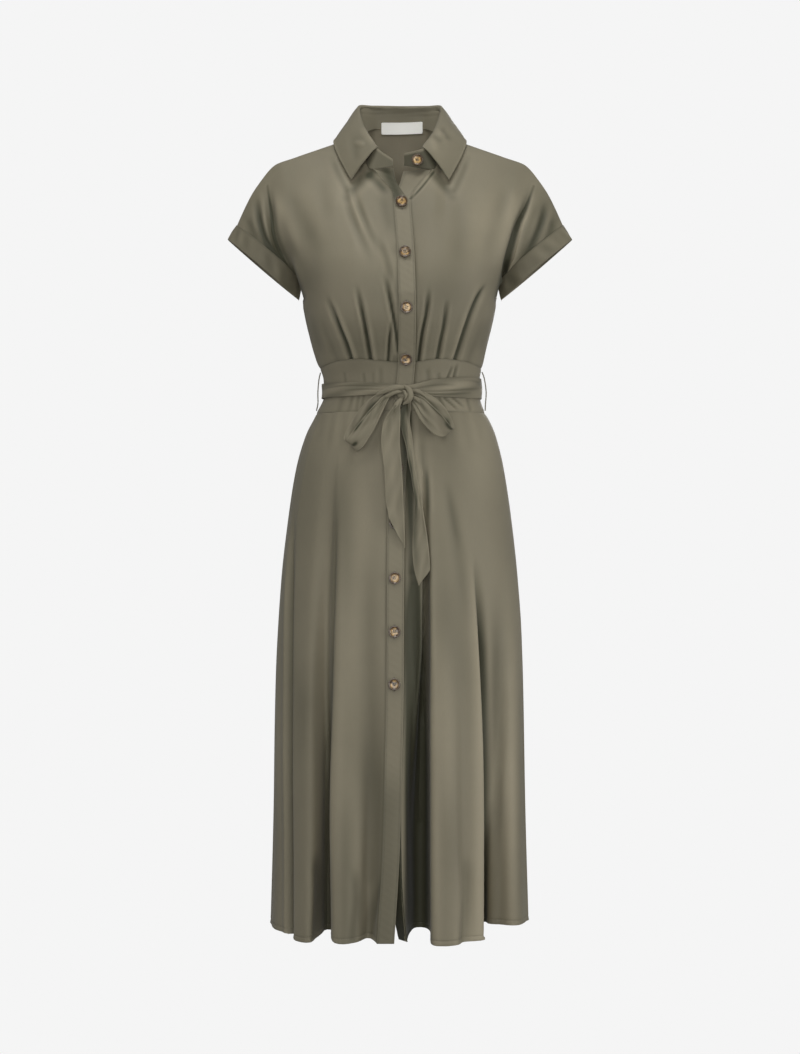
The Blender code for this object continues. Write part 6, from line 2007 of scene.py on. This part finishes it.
def cloth_material(groups, name, dark, light, roughness, spacing, bump, sheen, specular):
    """Woven cloth whose colour runs a little between dark and light."""
    material, tree, shader = material_base(name, roughness, sheen=sheen, specular=specular)
    cut = tree.nodes.new("ShaderNodeUVMap")
    cut.uv_map = "Cut"
    coords = tree.nodes.new("ShaderNodeTexCoord")
    weave = place_group(
        tree, groups["weave"], Cut=cut.outputs[0], Thread_Spacing=spacing, Unevenness=0.5
    )
    mottle = place_group(tree, groups["mottle"], Vector=coords.outputs["Object"], Scale=1.0)
    tone = math_node(tree, "ADD", math_node(tree, "MULTIPLY", weave.outputs["Tone"], 0.35), 0.5)
    tone = math_node(tree, "ADD", tone, math_node(tree, "MULTIPLY", mottle.outputs["Broad"], 0.9))
    tone = math_node(tree, "ADD", tone, math_node(tree, "MULTIPLY", mottle.outputs["Fine"], 0.4))
    # Painted shade: the stored point values mix the colour towards a dark grey-green in folds and
    # recesses, and past white as a painted highlight below 0.
    shade_attribute_node = tree.nodes.new("ShaderNodeAttribute")
    shade_attribute_node.attribute_name = "PaintedShade"
    shaded = tree.nodes.new("ShaderNodeVectorMath")
    shaded.operation = "MULTIPLY"
    tree.links.new(mix_colours(tree, tone, dark, light), shaded.inputs[0])
    shade = mix_colours(tree, shade_attribute_node.outputs["Fac"], (1, 1, 1), (0.33, 0.352, 0.31), clamped=False)
    tree.links.new(shade, shaded.inputs[1])
    tree.links.new(shaded.outputs[0], shader.inputs["Base Color"])
    rough = math_node(tree, "ADD", math_node(tree, "MULTIPLY", mottle.outputs["Fine"], 0.12), roughness)
    tree.links.new(rough, shader.inputs["Roughness"])
    node = tree.nodes.new("ShaderNodeBump")
    node.inputs["Strength"].default_value = bump
    node.inputs["Distance"].default_value = 0.00012
    tree.links.new(weave.outputs["Height"], node.inputs["Height"])
    tree.links.new(node.outputs[0], shader.inputs["Normal"])
    return material


def horn_material(groups):
    """Marbled horn: a dark rim round a well clouded with gold and brown."""
    material, tree, shader = material_base("marbled_horn", 0.30, coat=0.12)
    cut = tree.nodes.new("ShaderNodeUVMap")
    cut.uv_map = "Cut"
    coords = tree.nodes.new("ShaderNodeTexCoord")
    marble = place_group(tree, groups["marble"], Vector=coords.outputs["Object"], Scale=1.0)
    length = tree.nodes.new("ShaderNodeVectorMath")
    length.operation = "LENGTH"
    tree.links.new(cut.outputs[0], length.inputs[0])
    rim = tree.nodes.new("ShaderNodeMapRange")
    rim.inputs["From Min"].default_value = 0.0047
    rim.inputs["From Max"].default_value = 0.0066
    rim.inputs["To Min"].default_value = 1.0
    rim.inputs["To Max"].default_value = 0.06
    tree.links.new(length.outputs["Value"], rim.inputs["Value"])
    pale = math_node(tree, "MULTIPLY", marble.outputs["Pale"], rim.outputs[0])
    body = mix_colours(tree, pale, (0.022, 0.012, 0.007), (0.72, 0.46, 0.17))
    grain = math_node(tree, "MULTIPLY", marble.outputs["Grain"], 0.45)
    tree.links.new(mix_colours(tree, grain, body, (0.16, 0.09, 0.035)), shader.inputs["Base Color"])
    rough = math_node(tree, "ADD", math_node(tree, "MULTIPLY", marble.outputs["Grain"], 0.14), 0.20)
    tree.links.new(rough, shader.inputs["Roughness"])
    return material


def backdrop_material():
    """Plain pale paper that looks evenly lit but throws little light on the dress."""
    material, tree, shader = material_base("pale_paper", 0.9, specular=0.0)
    path = tree.nodes.new("ShaderNodeLightPath")
    seen = path.outputs["Is Camera Ray"]
    base = mix_colours(tree, seen, (0.30, 0.30, 0.30), (0.0, 0.0, 0.0))
    tree.links.new(base, shader.inputs["Base Color"])
    shader.inputs["Emission Color"].default_value = (PALE, PALE, PALE, 1)
    tree.links.new(seen, shader.inputs["Emission Strength"])
    return material


# ---------------------------------------------------------------- stage, light and camera

PALE = 0.913  # brightness of the floor and of what lies behind it
VIEW_MIDDLE = -0.5766
VIEW_HEIGHT = 1.5705  # height of the picture at the dress
VIEW_DISTANCE = 4.0


def stage(material):
    """A wide pale floor."""
    floor_z = HEM_Z - 0.25
    mesh = bpy.data.meshes.new("studio_floor")
    corners = ((-40, -40), (40, -40), (40, 40), (-40, 40))
    mesh.from_pydata([(x, y, floor_z) for x, y in corners], [], [(0, 1, 2, 3)])
    mesh.materials.append(material)
    floor = bpy.data.objects.new("studio_floor", mesh)
    bpy.context.scene.collection.objects.link(floor)


def soft_world():
    """Even fill light that looks as pale as the floor."""
    world = bpy.data.worlds.new("soft_fill")
    world.use_nodes = True
    tree = world.node_tree
    fill = tree.nodes["Background"]
    fill.inputs["Color"].default_value = (1, 1, 1, 1)
    fill.inputs["Strength"].default_value = 0.22
    seen = tree.nodes.new("ShaderNodeBackground")
    seen.inputs["Color"].default_value = (PALE, PALE, PALE, 1)
    path = tree.nodes.new("ShaderNodeLightPath")
    either = tree.nodes.new("ShaderNodeMixShader")
    tree.links.new(path.outputs["Is Camera Ray"], either.inputs[0])
    tree.links.new(fill.outputs[0], either.inputs[1])
    tree.links.new(seen.outputs[0], either.inputs[2])
    tree.links.new(either.outputs[0], tree.nodes["World Output"].inputs["Surface"])
    return world


def area_light(name, place, target, size, power):
    data = bpy.data.lights.new(name, "AREA")
    data.shape = "RECTANGLE"
    data.size, data.size_y = size
    data.energy = power
    light = bpy.data.objects.new(name, data)
    light.location = place
    light.rotation_euler = (Vector(target) - Vector(place)).to_track_quat("-Z", "Y").to_euler()
    light.visible_camera = False
    bpy.context.scene.collection.objects.link(light)
    return light


def studio():
    scene = bpy.context.scene
    for obj in list(bpy.data.objects):
        if obj.type in ("LIGHT", "CAMERA"):
            bpy.data.objects.remove(obj, do_unlink=True)
    scene.view_settings.view_transform = "Standard"
    scene.world = soft_world()
    area_light("front", (-0.1, -3.9, -0.2), (0, 0, -0.6), (1.6, 1.6), 42)
    area_light("top", (-0.15, -0.9, 2.4), (0, 0, -0.3), (1.3, 1.3), 40)
    area_light("side_right", (2.4, -1.2, -0.6), (0, 0, -0.8), (0.9, 1.6), 27)
    area_light("side_left", (-2.4, -1.2, -0.6), (0, 0, -0.8), (0.9, 1.6), 9)
    area_light("neck", (0.0, -1.5, 0.45), (0, 0, 0.0), (0.35, 0.35), 2.4)
    area_light("back", (0.5, 3.6, 0.6), (0, 0, -0.6), (1.8, 1.8), 60)
    data = bpy.data.cameras.new("view")
    data.sensor_fit = "VERTICAL"
    data.sensor_height = 36
    data.lens = 36 * VIEW_DISTANCE / VIEW_HEIGHT
    data.clip_end = 50
    camera = bpy.data.objects.new("view", data)
    camera.location = (0, -VIEW_DISTANCE, VIEW_MIDDLE)
    camera.rotation_euler = (math.pi / 2, 0, 0)
    scene.collection.objects.link(camera)
    scene.camera = camera


# ---------------------------------------------------------------- the dress


def build():
    studio()
    stage(backdrop_material())
    groups = {"weave": weave_group(), "mottle": mottle_group(), "marble": marble_group()}
    cloth = cloth_material(groups, *MAIN_CLOTH)
    thread = cloth_material(groups, *THREAD)
    cream = cloth_material(groups, *LABEL_CLOTH)
    horn = horn_material(groups)
    made = bodice(cloth)
    made |= waistband(cloth)
    panels, hem_runs = skirt(cloth)
    made |= panels
    bands, band_runs, lines = plackets(cloth)
    made |= bands
    made |= cuffs(cloth)
    made["collar_stand"] = collar_stand(cloth)
    made["collar_fall"] = collar_fall(cloth)
    made["neck_label"], label_runs = neck_label(cream)
    made["sash_band"] = sash_band(cloth)
    for node, stops, creases, shades in (
        ("bow_loop_right", LOOP_RIGHT, LOOP_CREASES, RIGHT_LOOP_SHADES),
        ("bow_loop_left", LOOP_LEFT, LOOP_CREASES, LEFT_LOOP_SHADES),
        ("sash_tail_right", TAIL_RIGHT, TAIL_CREASES, TAIL_SHADES),
        ("sash_tail_left", TAIL_LEFT, TWIST_CREASES, TWIST_SHADES),
    ):
        made[node] = ribbon(node, stops, creases, shades, cloth)
    made["sash_knot"] = sash_knot(cloth)
    loops = carriers(thread)
    stitches("hem_stitching", hem_runs, thread)
    stitches("placket_stitching", band_runs, thread)
    stitches("buttonhole_stitching", buttonhole_runs(*lines["placket_right"]), thread)
    stitches("label_stitching", label_runs, cream, "label_cream")
    buttons(horn, thread, lines["placket_right"][0])
    return made, loops


# A record of a piece's flat size as it shows, without seam allowances: its width and length in metres,
# its area in square metres where the cut isn't a rectangle, how it is held, and what it hangs on.
Cut = namedtuple("Cut", "width length area held rests")


def declare():
    for piece in PIECES:
        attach(piece.obj, "root")
        if piece.nodes:
            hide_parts(*piece.nodes)


made, loops = build()
declare()
